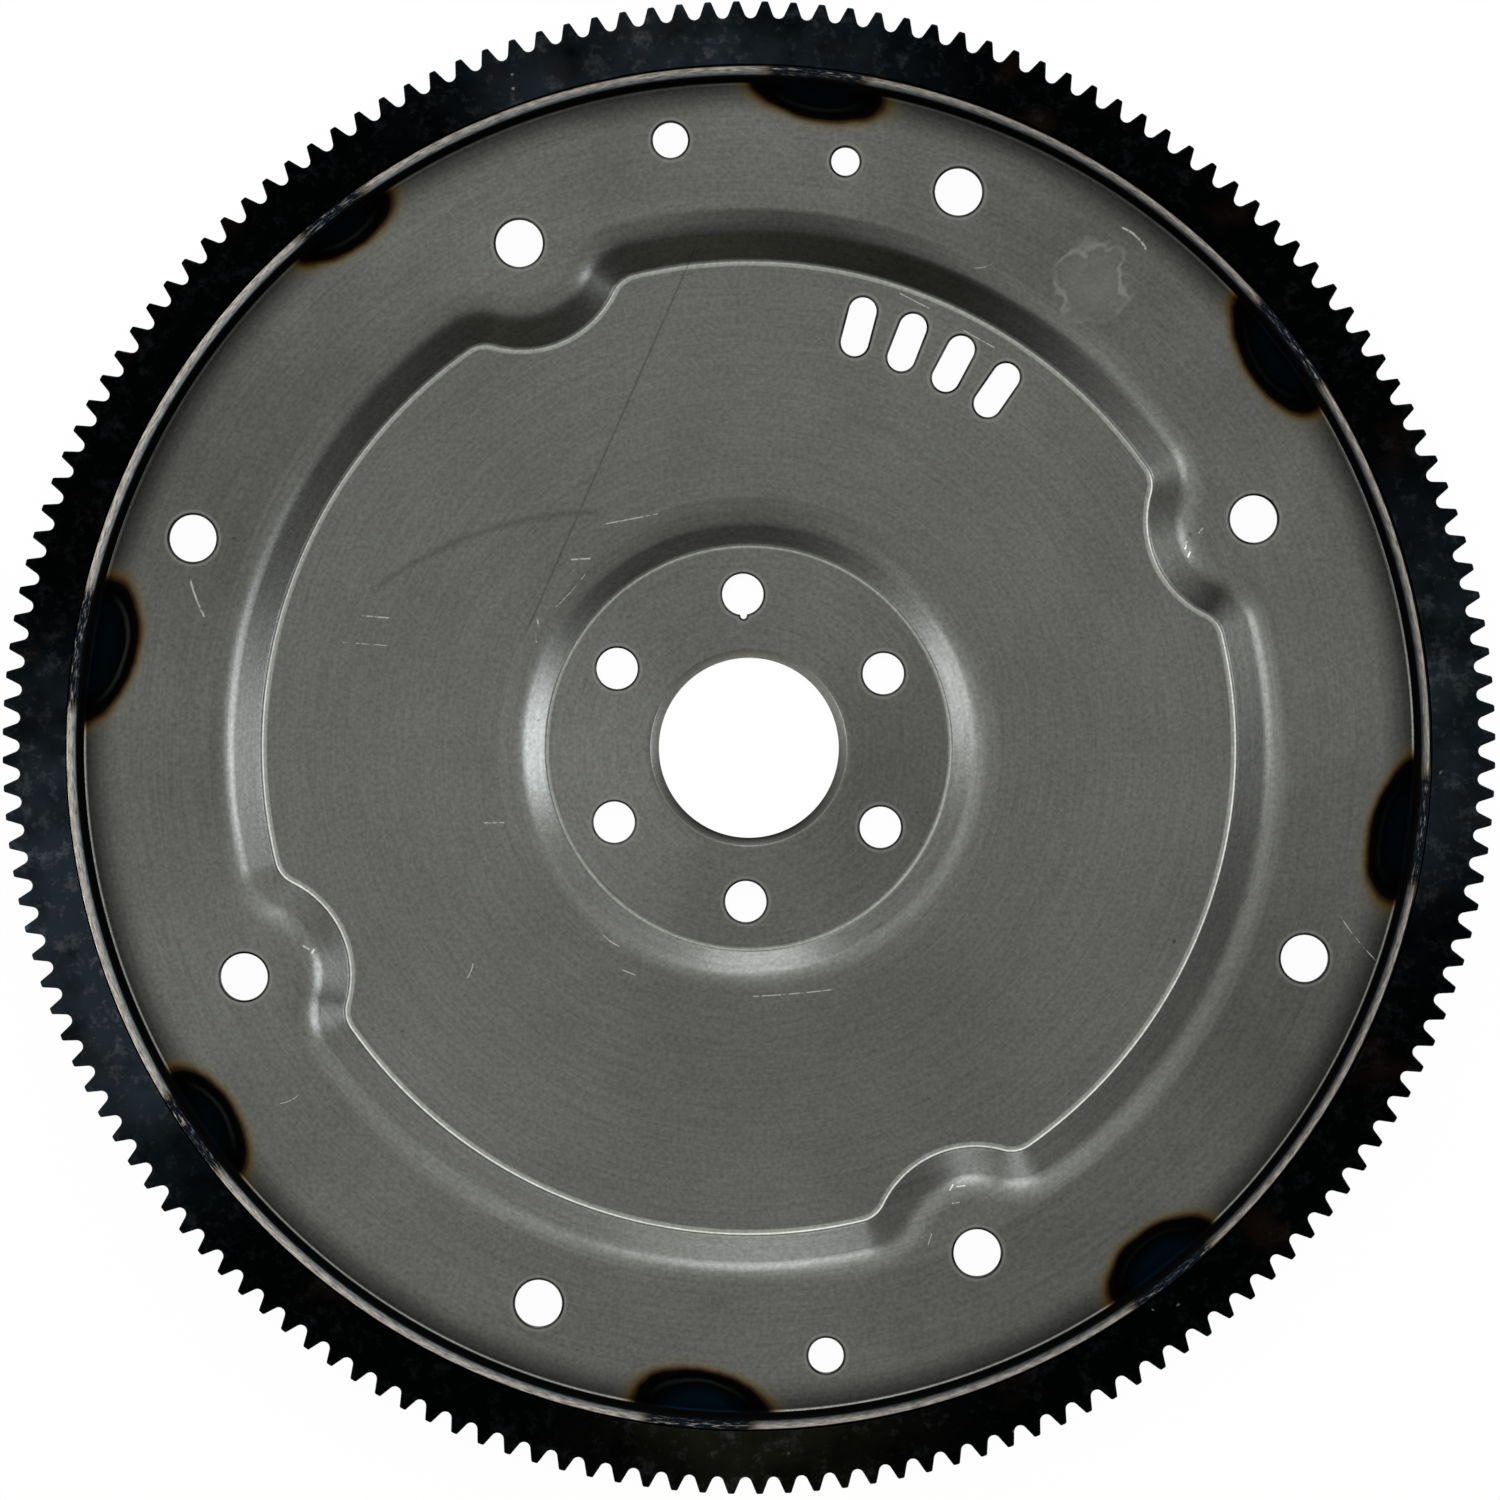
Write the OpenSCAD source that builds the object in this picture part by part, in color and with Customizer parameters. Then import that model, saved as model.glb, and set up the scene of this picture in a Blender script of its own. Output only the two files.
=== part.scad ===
// Flexplate of an automatic gearbox: a dished sheet-steel plate with a shrunk-on starter ring gear
// that is held by short weld beads on the crank side. The axis of the crankshaft is Z, the back of
// the hub lies in the plane Z = 0, and the open side of the dish, towards the converter, faces up.

/* [Sheet] */
// Thickness of the sheet
sheet_t = 3; // [2:0.1:4]
// Height of the step from the hub up to the web
hub_step = 4.5; // [4:0.1:8]
// Height of the step from the web up to the rim
rim_step = 8.5; // [6:0.1:12]
// Radius of the crease at the foot of the hub's step
hub_crease_r = 49.7; // [46:0.1:56]
// Distance of the crease at the foot of the rim's step inside the flange's outside
rim_band = 45.9; // [44:0.1:48]
// Slope of the hub's step
hub_slope = 34; // [25:1:38]
// Slope of the rim's step
rim_slope = 45; // [35:1:55]
// Inner radius of the bend at the foot of a step
foot_bend = 1; // [0.5:0.1:2]
// Outer radius of the bend at the head of the hub's step
hub_head_bend = 9.5; // [7:0.1:11]
// Outer radius of the bend at the head of the rim's step
rim_head_bend = 9.7; // [7:0.1:11]

/* [Flange] */
// Outer diameter of the turned-up flange, on which the ring gear sits
flange_od = 330; // [326:0.5:340]
// Inner radius of the fold between the rim and the flange
fold_r = 1; // [0.5:0.1:2]
// Break of the flange's inner edge
flange_edge = 0.7; // [0.2:0.1:1.2]

/* [Hub] */
// Diameter of the pilot bore
pilot_d = 44.3; // [38:0.1:48]
// Width of the pilot bore's lead-in chamfer, at 45 degrees
pilot_chamfer = 2; // [0.5:0.1:2.5]
// Diameter of the circle of the crank bolts
crank_pcd = 75.6; // [72:0.1:80]
// Diameter of a crank bolt's hole
crank_hole_d = 10.5; // [9:0.1:12]
// Angle that sets the uppermost crank bolt off the even spacing, so that the plate fits one way only
index_offset = 3.3; // [1:0.1:6]
// Radius of the notch that marks the offset hole
index_notch_r = 1; // [0.5:0.1:1.5]

/* [Converter holes] */
// Distance of the inner circle of converter holes, which lie in the lobes, outside the rim's crease
converter_a_out = 15.7; // [14:0.1:18]
// Distance of the outer circle of converter holes inside the flange's outside
converter_b_in = 20.5; // [18:0.1:22]
// Diameter of a converter hole
converter_hole_d = 11.8; // [9:0.1:13]
// Angle of the first hole of the inner circle
converter_a_angle = 25.5; // [15:0.5:35]
// Angle from the inner circle's holes on to the outer circle's
converter_shift = 44.9; // [35:0.1:50]
// Radius of the crease round a lobe, about its converter hole
lobe_r = 25.3; // [23:0.1:26]
// Radius that blends a lobe's crease into the rim's crease
lobe_blend = 7.5; // [6:0.5:12]

/* [Tooling holes] */
// Distance of the two large tooling holes inside the flange's outside
tooling_in = 16; // [14:0.1:19]
// Diameter of the two large tooling holes
tooling_d = 8.9; // [6:0.1:10]
// Angle of the first large tooling hole
tooling_angle = 98.4; // [95:0.1:102]
// Diameter of the small tooling hole, on the outer converter circle
small_hole_d = 7.2; // [5:0.1:8]
// Angle of the small tooling hole
small_hole_angle = 81.7; // [79:0.1:84]

/* [Timing slots] */
// Number of slots
slot_count = 4; // [2:1:6]
// Width of a slot
slot_w = 7.1; // [5:0.1:8.5]
// Length of a slot along the radius
slot_len = 15; // [10:0.5:17]
// Distance of a slot's middle inside the rim's crease
slot_in = 12.5; // [11:0.1:16]
// Angle between neighbouring slots
slot_pitch = 6.7; // [6:0.1:8]
// Angle of the middle of the row of slots
slot_angle = 66.4; // [60:0.1:75]

/* [Ring gear] */
// Number of teeth
tooth_count = 164; // [140:4:172]
// Height of a tooth from root to tip
tooth_depth = 4.1; // [3:0.1:4.6]
// Width of a tooth's flat tip
tooth_tip = 1.5; // [1:0.05:1.8]
// Slope of a tooth's flanks against its middle line
flank_angle = 21.5; // [18:0.5:23]
// Radial height of the ring below the teeth
gear_rim = 11.4; // [8:0.1:14]
// Width of the ring along the axis
gear_w = 10; // [8:0.1:14]
// Chamfer of the ring's bore on the converter side
gear_chamfer = 0.6; // [0.2:0.1:1]
// Angle of the tooth nearest to the X axis
tooth_phase = 2; // [0:0.1:2.1]

/* [Welds] */
// Weld beads in each of the two rows
weld_row = 4; // [3:1:4]
// Angles of the middles of the two rows
weld_row_angles = [150.4, 331.9]; // [0:0.1:360]
// Angle between the beads of a row
weld_pitch = 43.6; // [40:0.1:44]
// Length of a bead
weld_len = 24; // [14:1:32]
// Height of a bead's crown over the ring gear's back face
weld_crown = 1.6; // [0.8:0.1:2.4]
// Width of a bead on the ring gear's back face
weld_toe = 2.2; // [1:0.1:4]
// Depth that a bead fills the groove
weld_depth = 2; // [1:0.1:2.5]

/* [Hidden] */
$fn = 96;

// Steps of the round stretches, for each arc
inside_steps = 2;
outside_steps = 4;
blend_steps = 4;
lobe_steps = 10;
rim_steps = 15;
fold_steps = 6;
root_steps = 6;
crown_steps = 6;

// Flat ring of the web that is made with the hub, and the lap of the flat pieces over the bent ones
web_margin = 5;
lap = 1;

// Margin by which a bead's taper clears its crown and its depth
weld_spare = 0.4;

// Height levels of the sheet's upper face
hub_top = sheet_t;
web_top = hub_top + hub_step;
rim_top = web_top + rim_step;
rim_back = rim_top - sheet_t;
gear_top = rim_back + gear_w;

// Flange and ring gear
flange_r = flange_od/2;
flange_in = flange_r - sheet_t;
fold_x = flange_in - fold_r;
fold_z = rim_top + fold_r;
root_r = flange_r + gear_rim;
tip_r = root_r + tooth_depth;

// Places round the axis
crank_r = crank_pcd/2;
rim_crease_r = flange_r - rim_band;
converter_a_r = rim_crease_r + converter_a_out;
converter_b_r = flange_r - converter_b_in;
tooling_r = flange_r - tooling_in;
slot_r = rim_crease_r - slot_in;
quarter = 90;
web_join_r = hub_crease_r + step_run(hub_step, hub_slope, foot_bend + hub_head_bend) + web_margin;
rim_run = step_run(rim_step, rim_slope, foot_bend + rim_head_bend);

// Arcs of the rim's crease: the blends' centres, and the angles where the arcs meet, seen from a lobe
blend_x = rim_crease_r - lobe_blend;
blend_reach = lobe_r + lobe_blend;
blend_angle = acos((pow(blend_x, 2) + pow(converter_a_r, 2) - pow(blend_reach, 2))
    /(2*blend_x*converter_a_r));
meet_angle = atan2(blend_x*sin(blend_angle), converter_a_r - blend_x*cos(blend_angle));

// Points on an arc of radius r about c, from angle a0 to a1 in n steps
function arc(c, r, a0, a1, n) = [for (i = [0:n]) let (a = a0 + (a1 - a0)*i/n) c + r*[cos(a), sin(a)]];

// Run of a step along the radius, from its height, its slope and the sum of its two bends
function step_run(h, slope, bends) = bends*sin(slope) + (h - bends*(1 - cos(slope)))/tan(slope);

// Upper and lower face of the bent sheet in a step that starts at x on the level z of its upper face
function foot_centre(x, z) = [x, z + foot_bend];
function head_centre(x, z, h, slope, head) = [x + step_run(h, slope, foot_bend + head), z + h - head];
function step_upper(x, z, h, slope, head) = concat(
    arc(foot_centre(x, z), foot_bend, -90, slope - 90, inside_steps),
    arc(head_centre(x, z, h, slope, head), head, 90 + slope, 90, outside_steps));
function step_lower(x, z, h, slope, head) = concat(
    arc(head_centre(x, z, h, slope, head), head - sheet_t, 90, 90 + slope, inside_steps),
    arc(foot_centre(x, z), foot_bend + sheet_t, slope - 90, -90, outside_steps));

// Stations along the rim's crease. Each has the centre of its arc, the arc's radius, which is
// negative where the crease bends round a lobe, and the direction across the crease
function along(c, r, a0, a1, n) = [for (i = [0:n - 1]) [c, r, a0 + (a1 - a0)*i/n]];
function on_circle(r, a) = r*[cos(a), sin(a)];
function crease_quarter(a) = concat(
    along(on_circle(blend_x, a - blend_angle), lobe_blend, a - blend_angle, a + meet_angle, blend_steps),
    along(on_circle(converter_a_r, a), -lobe_r, a + meet_angle, a - meet_angle, lobe_steps),
    along(on_circle(blend_x, a + blend_angle), lobe_blend, a - meet_angle, a + blend_angle, blend_steps),
    along([0, 0], rim_crease_r, a + blend_angle, a + quarter - blend_angle, rim_steps));
crease = [for (i = [0:3]) each crease_quarter(converter_a_angle + quarter*i)];

// Points beside the crease at the distance s outwards
function beside(s) = [for (st = crease) st[0] + on_circle(st[1] + s, st[2])];

// Hub and its step, turned about the axis
module hub_dish() {
    rotate_extrude() polygon(concat([[0, 0], [0, hub_top]],
        step_upper(hub_crease_r, hub_top, hub_step, hub_slope, hub_head_bend),
        [[web_join_r + lap, web_top], [web_join_r + lap, web_top - sheet_t]],
        step_lower(hub_crease_r, hub_top, hub_step, hub_slope, hub_head_bend)));
}

// Flat web between the hub's step and the lobed crease
module web() {
    translate([0, 0, web_top - sheet_t]) linear_extrude(sheet_t) difference() {
        polygon(beside(0));
        circle(web_join_r);
    }
}

// Step of the rim, swept along the lobed crease
module lobed_step() {
    section = concat([[-lap, web_top]],
        step_upper(0, web_top, rim_step, rim_slope, rim_head_bend),
        [[rim_run + lap, rim_top], [rim_run + lap, rim_back]],
        step_lower(0, web_top, rim_step, rim_slope, rim_head_bend),
        [[-lap, web_top - sheet_t]]);
    m = len(section);
    n = len(crease);
    rings = [for (st = crease) each [for (p = section) let (q = st[0] + on_circle(st[1] + p.x, st[2]))
        [q.x, q.y, p.y]]];
    polyhedron(rings, [for (i = [0:n - 1]) each [for (j = [0:m - 1])
        let (i2 = (i + 1)%n, j2 = (j + 1)%m) [i*m + j, i2*m + j, i2*m + j2, i*m + j2]]]);
}

// Flat rim between the lobed step and the fold of the flange
module rim() {
    translate([0, 0, rim_back]) linear_extrude(sheet_t) difference() {
        circle(fold_x);
        polygon(beside(rim_run));
    }
}

// Turned-up flange with its fold and its broken inner edge
function fold_back() = arc([fold_x, fold_z], fold_r + sheet_t, -90, 0, fold_steps);
module flange() {
    rotate_extrude() polygon(concat([[fold_x - lap, rim_back]],
        fold_back(),
        [[flange_r, gear_top], [flange_in + flange_edge, gear_top], [flange_in, gear_top - flange_edge]],
        arc([fold_x, fold_z], fold_r, 0, -90, fold_steps),
        [[fold_x - lap, rim_top]]));
}

module through(d) {
    translate([0, 0, -1]) cylinder(d = d, h = gear_top + 2);
}

module at(r, angle) {
    rotate(angle) translate([r, 0]) children();
}

module crank_holes() {
    for (i = [0:5]) at(crank_r, 30 + 60*i + (i == 1 ? index_offset : 0)) through(crank_hole_d);
    at(crank_r - crank_hole_d/2, 90 + index_offset) through(2*index_notch_r);
}

module converter_holes() {
    for (i = [0:3]) {
        at(converter_a_r, converter_a_angle + quarter*i) through(converter_hole_d);
        at(converter_b_r, converter_a_angle + converter_shift + quarter*i) through(converter_hole_d);
    }
}

module tooling_holes() {
    for (i = [0, 1]) at(tooling_r, tooling_angle + 180*i) through(tooling_d);
    at(converter_b_r, small_hole_angle) through(small_hole_d);
}

module timing_slots() {
    straight = slot_len - slot_w;
    for (i = [0:slot_count - 1]) at(slot_r, slot_angle + slot_pitch*(i - (slot_count - 1)/2)) {
        for (side = [-1, 1]) translate([side*straight/2, 0]) through(slot_w);
        translate([-straight/2, -slot_w/2, -1]) cube([straight, slot_w, gear_top + 2]);
    }
}

module pilot_bore() {
    through(pilot_d);
    translate([0, 0, hub_top - pilot_chamfer])
        cylinder(d1 = pilot_d, d2 = pilot_d + 2*(pilot_chamfer + 1), h = pilot_chamfer + 1);
}

module plate() {
    color([0.42, 0.42, 0.40]) difference() {
        union() {
            hub_dish();
            web();
            lobed_step();
            rim();
            flange();
        }
        pilot_bore();
        crank_holes();
        converter_holes();
        tooling_holes();
        timing_slots();
    }
}

// One tooth and the round root after it, as points round the axis
function flank_half(r) = tooth_tip/2 + (tip_r - r)*tan(flank_angle);
function tooth(i) =
    let (pitch = 360/tooth_count,
         middle = tooth_phase + pitch*i,
         gap = root_r*sin(pitch/2) - flank_half(root_r),
         lean = flank_angle + pitch/2,
         root_round = gap*cos(lean)/(1 - sin(lean)),
         root = arc([root_r + root_round, 0], root_round, 270 - lean, 90 + lean, root_steps))
    concat([for (side = [-1, 1]) turn([tip_r, side*tooth_tip/2], middle)],
        [for (p = root) turn(p, middle + pitch/2)]);
function turn(p, a) = [p.x*cos(a) - p.y*sin(a), p.x*sin(a) + p.y*cos(a)];

module ring_gear() {
    color([0.10, 0.11, 0.12]) difference() {
        translate([0, 0, rim_back]) linear_extrude(gear_w)
            polygon([for (i = [0:tooth_count - 1]) each tooth(i)]);
        through(flange_od);
        translate([0, 0, gear_top - gear_chamfer])
            cylinder(r1 = flange_r, r2 = flange_r + gear_chamfer + 1, h = gear_chamfer + 1);
    }
}

// Points of an arc that hangs by sag below a level chord from x0 to x1
function hanging_arc(x0, x1, z, sag, n) =
    let (half = (x1 - x0)/2,
         r = (half*half + sag*sag)/(2*sag),
         a = asin(half/r))
    arc([x0 + half, z - sag + r], r, -90 + a, -90 - a, n);

// Weld bead in the groove between the fold's back and the ring gear's bore, tapered to its ends
module weld_bead(i) {
    row = floor((i - 1)/weld_row);
    middle = weld_row_angles[row] + weld_pitch*((i - 1)%weld_row - (weld_row - 1)/2);
    turn_angle = 2*weld_len/flange_r*180/PI;
    groove = [for (p = fold_back()) if (p.y < rim_back + weld_depth) p];
    end_z = groove[len(groove) - 1].y;
    rise = end_z - rim_back + weld_spare + weld_crown;
    taper_r = (pow(weld_len/2, 2) + rise*rise)/(2*rise);
    color([0.16, 0.15, 0.15]) intersection() {
        rotate(middle - turn_angle/2) rotate_extrude(angle = turn_angle) polygon(concat(groove,
            [[flange_r, end_z], [flange_r, rim_back]],
            hanging_arc(fold_x, flange_r + weld_toe, rim_back, weld_crown, crown_steps)));
        rotate(middle) translate([flange_r, 0, rim_back - weld_crown - weld_spare/2 + taper_r])
            rotate([0, 90, 0]) cylinder(r = taper_r, h = 4*(weld_toe + sheet_t + fold_r), center = true);
    }
}

plate();
ring_gear();
for (i = [1:2*weld_row]) weld_bead(i);
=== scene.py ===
"""Looks of the flexplate: a bare steel plate, its black ring gear and the weld beads that join them."""

import math

import bmesh
import bpy
import numpy as np
from mathutils import Matrix, Vector
from mathutils.geometry import delaunay_2d_cdt


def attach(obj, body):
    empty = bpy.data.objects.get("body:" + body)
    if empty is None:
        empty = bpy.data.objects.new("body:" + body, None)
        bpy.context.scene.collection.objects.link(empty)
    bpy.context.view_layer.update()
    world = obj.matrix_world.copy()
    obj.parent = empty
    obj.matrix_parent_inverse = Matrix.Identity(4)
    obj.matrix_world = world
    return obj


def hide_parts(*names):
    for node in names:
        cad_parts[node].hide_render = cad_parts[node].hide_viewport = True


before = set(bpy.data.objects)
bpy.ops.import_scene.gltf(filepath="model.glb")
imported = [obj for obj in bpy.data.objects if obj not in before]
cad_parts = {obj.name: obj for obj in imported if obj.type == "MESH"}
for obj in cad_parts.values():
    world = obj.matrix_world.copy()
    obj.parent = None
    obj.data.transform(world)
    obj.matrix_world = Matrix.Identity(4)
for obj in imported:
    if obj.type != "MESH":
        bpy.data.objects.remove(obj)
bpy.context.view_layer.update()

# Sizes in millimetres and degrees, as in the part's source
MM = 0.001
SHEET = 3.0
HUB_TOP, WEB_TOP, RIM_TOP, RIM_BACK, GEAR_TOP = 3.0, 7.5, 16.0, 13.0, 23.0
HUB_CREASE_R, CREASE_R = 49.7, 119.1
HUB_SLOPE, RIM_SLOPE = 34.0, 45.0
FOOT_BEND, HUB_HEAD, RIM_HEAD = 1.0, 9.5, 9.7
FLANGE_R, FLANGE_IN, FOLD_X, FOLD_R, FLANGE_EDGE = 165.0, 162.0, 161.0, 1.0, 0.7
PILOT_R, PILOT_CHAMFER = 22.15, 2.0
CRANK_R, CRANK_HOLE_R, INDEX_OFFSET, NOTCH_R = 37.8, 5.25, 3.3, 1.0
CONV_A_R, CONV_B_R, CONV_HOLE_R, CONV_A_ANGLE, CONV_SHIFT = 134.8, 144.5, 5.9, 25.5, 44.9
LOBE_R, LOBE_BLEND = 25.3, 7.5
TOOLING_R, TOOLING_HOLE_R, TOOLING_ANGLE = 149.0, 4.45, 98.4
SMALL_HOLE_R, SMALL_HOLE_ANGLE = 3.6, 81.7
SLOT_COUNT, SLOT_W, SLOT_LEN, SLOT_R, SLOT_PITCH, SLOT_ANGLE = 4, 7.1, 15.0, 106.6, 6.7, 66.4
TEETH, TOOTH_DEPTH, TOOTH_TIP, FLANK, GEAR_RIM, TOOTH_PHASE = 164, 4.1, 1.5, 21.5, 11.4, 2.0
GEAR_CHAMFER = 0.6
ROOT_R = FLANGE_R + GEAR_RIM
TIP_R = ROOT_R + TOOTH_DEPTH
BEADS, BEAD_ROWS, BEAD_PITCH, BEAD_LEN, BEAD_CROWN, BEAD_TOE = 4, (150.4, 331.9), 43.6, 24.0, 1.6, 2.2

# Number and pitch of the crank bolt holes, and which of them is set off
CRANK_HOLES, CRANK_PITCH, INDEX_HOLE = 6, 60, 1

# Finish of the edges, only in the looks
FOOT_ROUND, ROLLOVER, HUB_ROLLOVER, BURR, BREAK = 1.4, 0.3, 0.25, 0.2, 0.25
TOOTH_ROUND, TOOTH_EDGE, TOOTH_RING, FACE_RING = 0.5, 0.3, 0.15, 6.0
MOUTH_RING, MOUTH_FLAT, MOUTH_CUT = 0.5, 0.12, 0.1
MERGE = 0.002

# Steps round the axis and along the bends, the lobed crease, the holes, the flange's edges and a tooth
TURN_STEPS = 288
FOOT_STEPS, HEAD_STEPS, FOOT_BACK_STEPS, HEAD_BACK_STEPS = 6, 12, 10, 6
BLEND_STEPS, LOBE_STEPS, CREASE_STEPS = 14, 32, 48
HOLE_STEPS, NOTCHED_STEPS, NOTCH_STEPS, SLOT_END_STEPS = 72, 66, 14, 20
FOLD_STEPS, EDGE_STEPS, CORNER_STEPS, FOLD_BACK_STEPS = 8, 8, 4, 12
ROOT_STEPS, TIP_STEPS = 5, 4

# Share of inset and of drop at each point round a broken edge
ROUNDING = [(1 - math.sin(math.radians(a)), 1 - math.cos(math.radians(a))) for a in (0, 30, 60, 90)]

# Distance from a hole's rolled edge, and strength of the painted highlight and wear on the loops of the light
# ring round it
HOLE_RING = ((1.0, 0.0), (0.45, 1.0), (0.2, 0.7), (0.05, 0.0))

# Wear of the tooth edges on the face and on the back of the ring gear
FACE_WEAR, BACK_WEAR = 1.0, 0.6

# Rows of points on the flat before the creases of hub and rim
HUB_LEAD, RIM_LEAD = (-0.75, -0.4), (-1.15, -0.9, -0.6, -0.35)

# Painted highlight of each row of points along the creases of hub and rim and the fold, and painted shade
# below 0
HUB_PAINTED_LINE = (0.0, 0.7, 1.3, 1.5, 0.7)
RIM_PAINTED_LINE = (0.0, 0.7, 1.0, 1.1, 1.4, 4.8, 1.4, -0.5, -0.4, -0.2)
FOLD_PAINTED_LINE = (0.0, 0.6, 2.8, 1.2)

# Points along and across a weld bead, and its gap to the fold
BEAD_STEPS, BEAD_ACROSS, BEAD_GAP = 96, 16, 0.1

# Place of a bead's middle inside the flange's radius, its drift to the ends and the share of width left there
BEAD_MIDDLE, BEAD_DRIFT, BEAD_END = 1.0, 0.6, 0.12

# Height of a bead's seat, and inset and depth of the points of its root
BEAD_SEAT, BEAD_ROOT = 0.05, ((0.0, 0.0), (0.1, 1.6), (0.9, 0.5))

# Pitch, depth and bow of a bead's ripples, scale and reach of their wander, and how blunt their crests are
RIPPLE_PITCH, RIPPLE_DEPTH, RIPPLE_BOW = 4.2, 0.45, 180.0
WANDER_SCALE, WANDER_REACH, CREST_POWER = 260.0, 1.6, 0.6

# Kinds of socket of the node groups
FLOAT, VECTOR = "NodeSocketFloat", "NodeSocketVector"
GEOMETRY, MATERIAL = "NodeSocketGeometry", "NodeSocketMaterial"


def polar(r, deg):
    """Point in plan at a radius and an angle."""
    a = math.radians(deg)
    return Vector((r * math.cos(a), r * math.sin(a)))


def arc(centre, r, start, end, steps):
    """Points on an arc about a centre."""
    return [Vector(centre) + polar(r, start + (end - start) * i / steps) for i in range(steps + 1)]


def step_run(height, slope, bends):
    """Run of a step along the radius."""
    s = math.radians(slope)
    return bends * math.sin(s) + (height - bends * (1 - math.cos(s))) / math.tan(s)


def step_faces(x, z, height, slope, head):
    """Upper and lower face of the bent sheet in a step, as rows of radius and height from the foot out."""
    foot_c = (x, z + FOOT_BEND)
    head_c = (x + step_run(height, slope, FOOT_BEND + head), z + height - head)
    round_c = (x - (FOOT_ROUND - FOOT_BEND) * math.tan(math.radians(slope / 2)), z + FOOT_ROUND)
    upper = arc(round_c, FOOT_ROUND, -90, slope - 90, FOOT_STEPS)
    upper += arc(head_c, head, 90 + slope, 90, HEAD_STEPS)
    lower = arc(foot_c, FOOT_BEND + SHEET, -90, slope - 90, FOOT_BACK_STEPS)
    lower += arc(head_c, head - SHEET, 90 + slope, 90, HEAD_BACK_STEPS)
    return upper, lower


def add_object(name, data):
    """New object in the scene."""
    made = bpy.data.objects.new(name, data)
    bpy.context.scene.collection.objects.link(made)
    return made


def mark_points(mesh, name, values):
    """Float attribute on the points of a mesh, from pairs of index and value."""
    data = mesh.attributes.new(name, "FLOAT", "POINT").data
    for i, value in values:
        data[i].value = value


def face_outward(mesh, merge=None):
    """Turns the faces of a mesh outward, after joining the points that lie closer than a distance."""
    bm = bmesh.new()
    bm.from_mesh(mesh)
    if merge:
        bmesh.ops.remove_doubles(bm, verts=bm.verts, dist=merge)
    bmesh.ops.recalc_face_normals(bm, faces=bm.faces)
    bm.to_mesh(mesh)
    bm.free()


class Shell:
    """Collects the loops and faces of one closed mesh, in millimetres."""

    def __init__(self):
        self.points, self.faces, self.marks = [], [], {"wear": {}, "crease": {}, "edge": {}}

    def loop(self, plan, z, **marks):
        """Points of one closed loop at a height; gives their numbers."""
        first = len(self.points)
        self.points += [(p[0], p[1], z) for p in plan]
        for name, value in marks.items():
            self.marks[name].update({first + i: value for i in range(len(plan))})
        return list(range(first, len(self.points)))

    def strip(self, *loops):
        """Faces between each loop and the next."""
        for a, b in zip(loops, loops[1:]):
            n = len(a)
            self.faces += [(a[i], b[i], b[(i + 1) % n], a[(i + 1) % n]) for i in range(n)]

    def flat(self, *loops):
        """Triangles between an outer loop and the loops inside it."""
        ids = [i for loop in loops for i in loop]
        place = {v: i for i, v in enumerate(ids)}
        edges = [(place[a], place[b]) for loop in loops for a, b in zip(loop, loop[1:] + loop[:1])]
        plan = [Vector(self.points[v][:2]) for v in ids]
        points, _, faces, source, _, _ = delaunay_2d_cdt(plan, edges, [], 1, 1e-7)
        corners = np.array(points)[np.array(faces)]
        x, y = corners.mean(axis=1).T[:, :, None]
        start, end = np.array(plan)[np.array(edges)].transpose(1, 2, 0)
        level = (start[1] > y) != (end[1] > y)
        rise = np.where(start[1] == end[1], 1.0, end[1] - start[1])
        beyond = x < start[0] + (y - start[1]) * (end[0] - start[0]) / rise
        solid = np.count_nonzero(level & beyond, axis=1) % 2 == 1
        kept_faces = [face for face, kept in zip(faces, solid) if kept]
        self.faces += [tuple(ids[source[v][0]] for v in face) for face in kept_faces]

    def object(self, name):
        """Smooth object of the mesh, with its marks as attributes."""
        mesh = bpy.data.meshes.new(name)
        mesh.from_pydata([Vector(p) * MM for p in self.points], [], self.faces)
        for mark, values in self.marks.items():
            mark_points(mesh, mark, values.items())
        face_outward(mesh, MERGE * MM)
        mesh.shade_smooth()
        return add_object(name, mesh)


def freeze(piece):
    """Turns the modified shape of a piece into its own mesh."""
    graph = bpy.context.evaluated_depsgraph_get()
    mesh = bpy.data.meshes.new_from_object(piece.evaluated_get(graph), depsgraph=graph)
    piece.modifiers.clear()
    piece.data = mesh
    return piece


def flat_normals(piece):
    """Lets the large flat faces keep their own direction up to the rounded edges."""
    weigh = piece.modifiers.new("Flat normals", "WEIGHTED_NORMAL")
    weigh.mode = "FACE_AREA"
    weigh.weight = 100
    return freeze(piece)


def marked(rows, values):
    """Rows with their marks, which are 0 past the last value."""
    return zip(rows, values + (0.0,) * (len(rows) - len(values)))


def turned(shell, rows, **marks):
    """Loops about the axis, one for each row of radius and height."""
    return [shell.loop(arc((0, 0), r, 0, 360, TURN_STEPS)[:-1], z, **marks) for r, z in rows]


def turned_line(shell, rows, values):
    """Loops about the axis with the painted highlight and shade of a crease."""
    return [turned(shell, [row], crease=value)[0] for row, value in marked(rows, values)]


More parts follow.
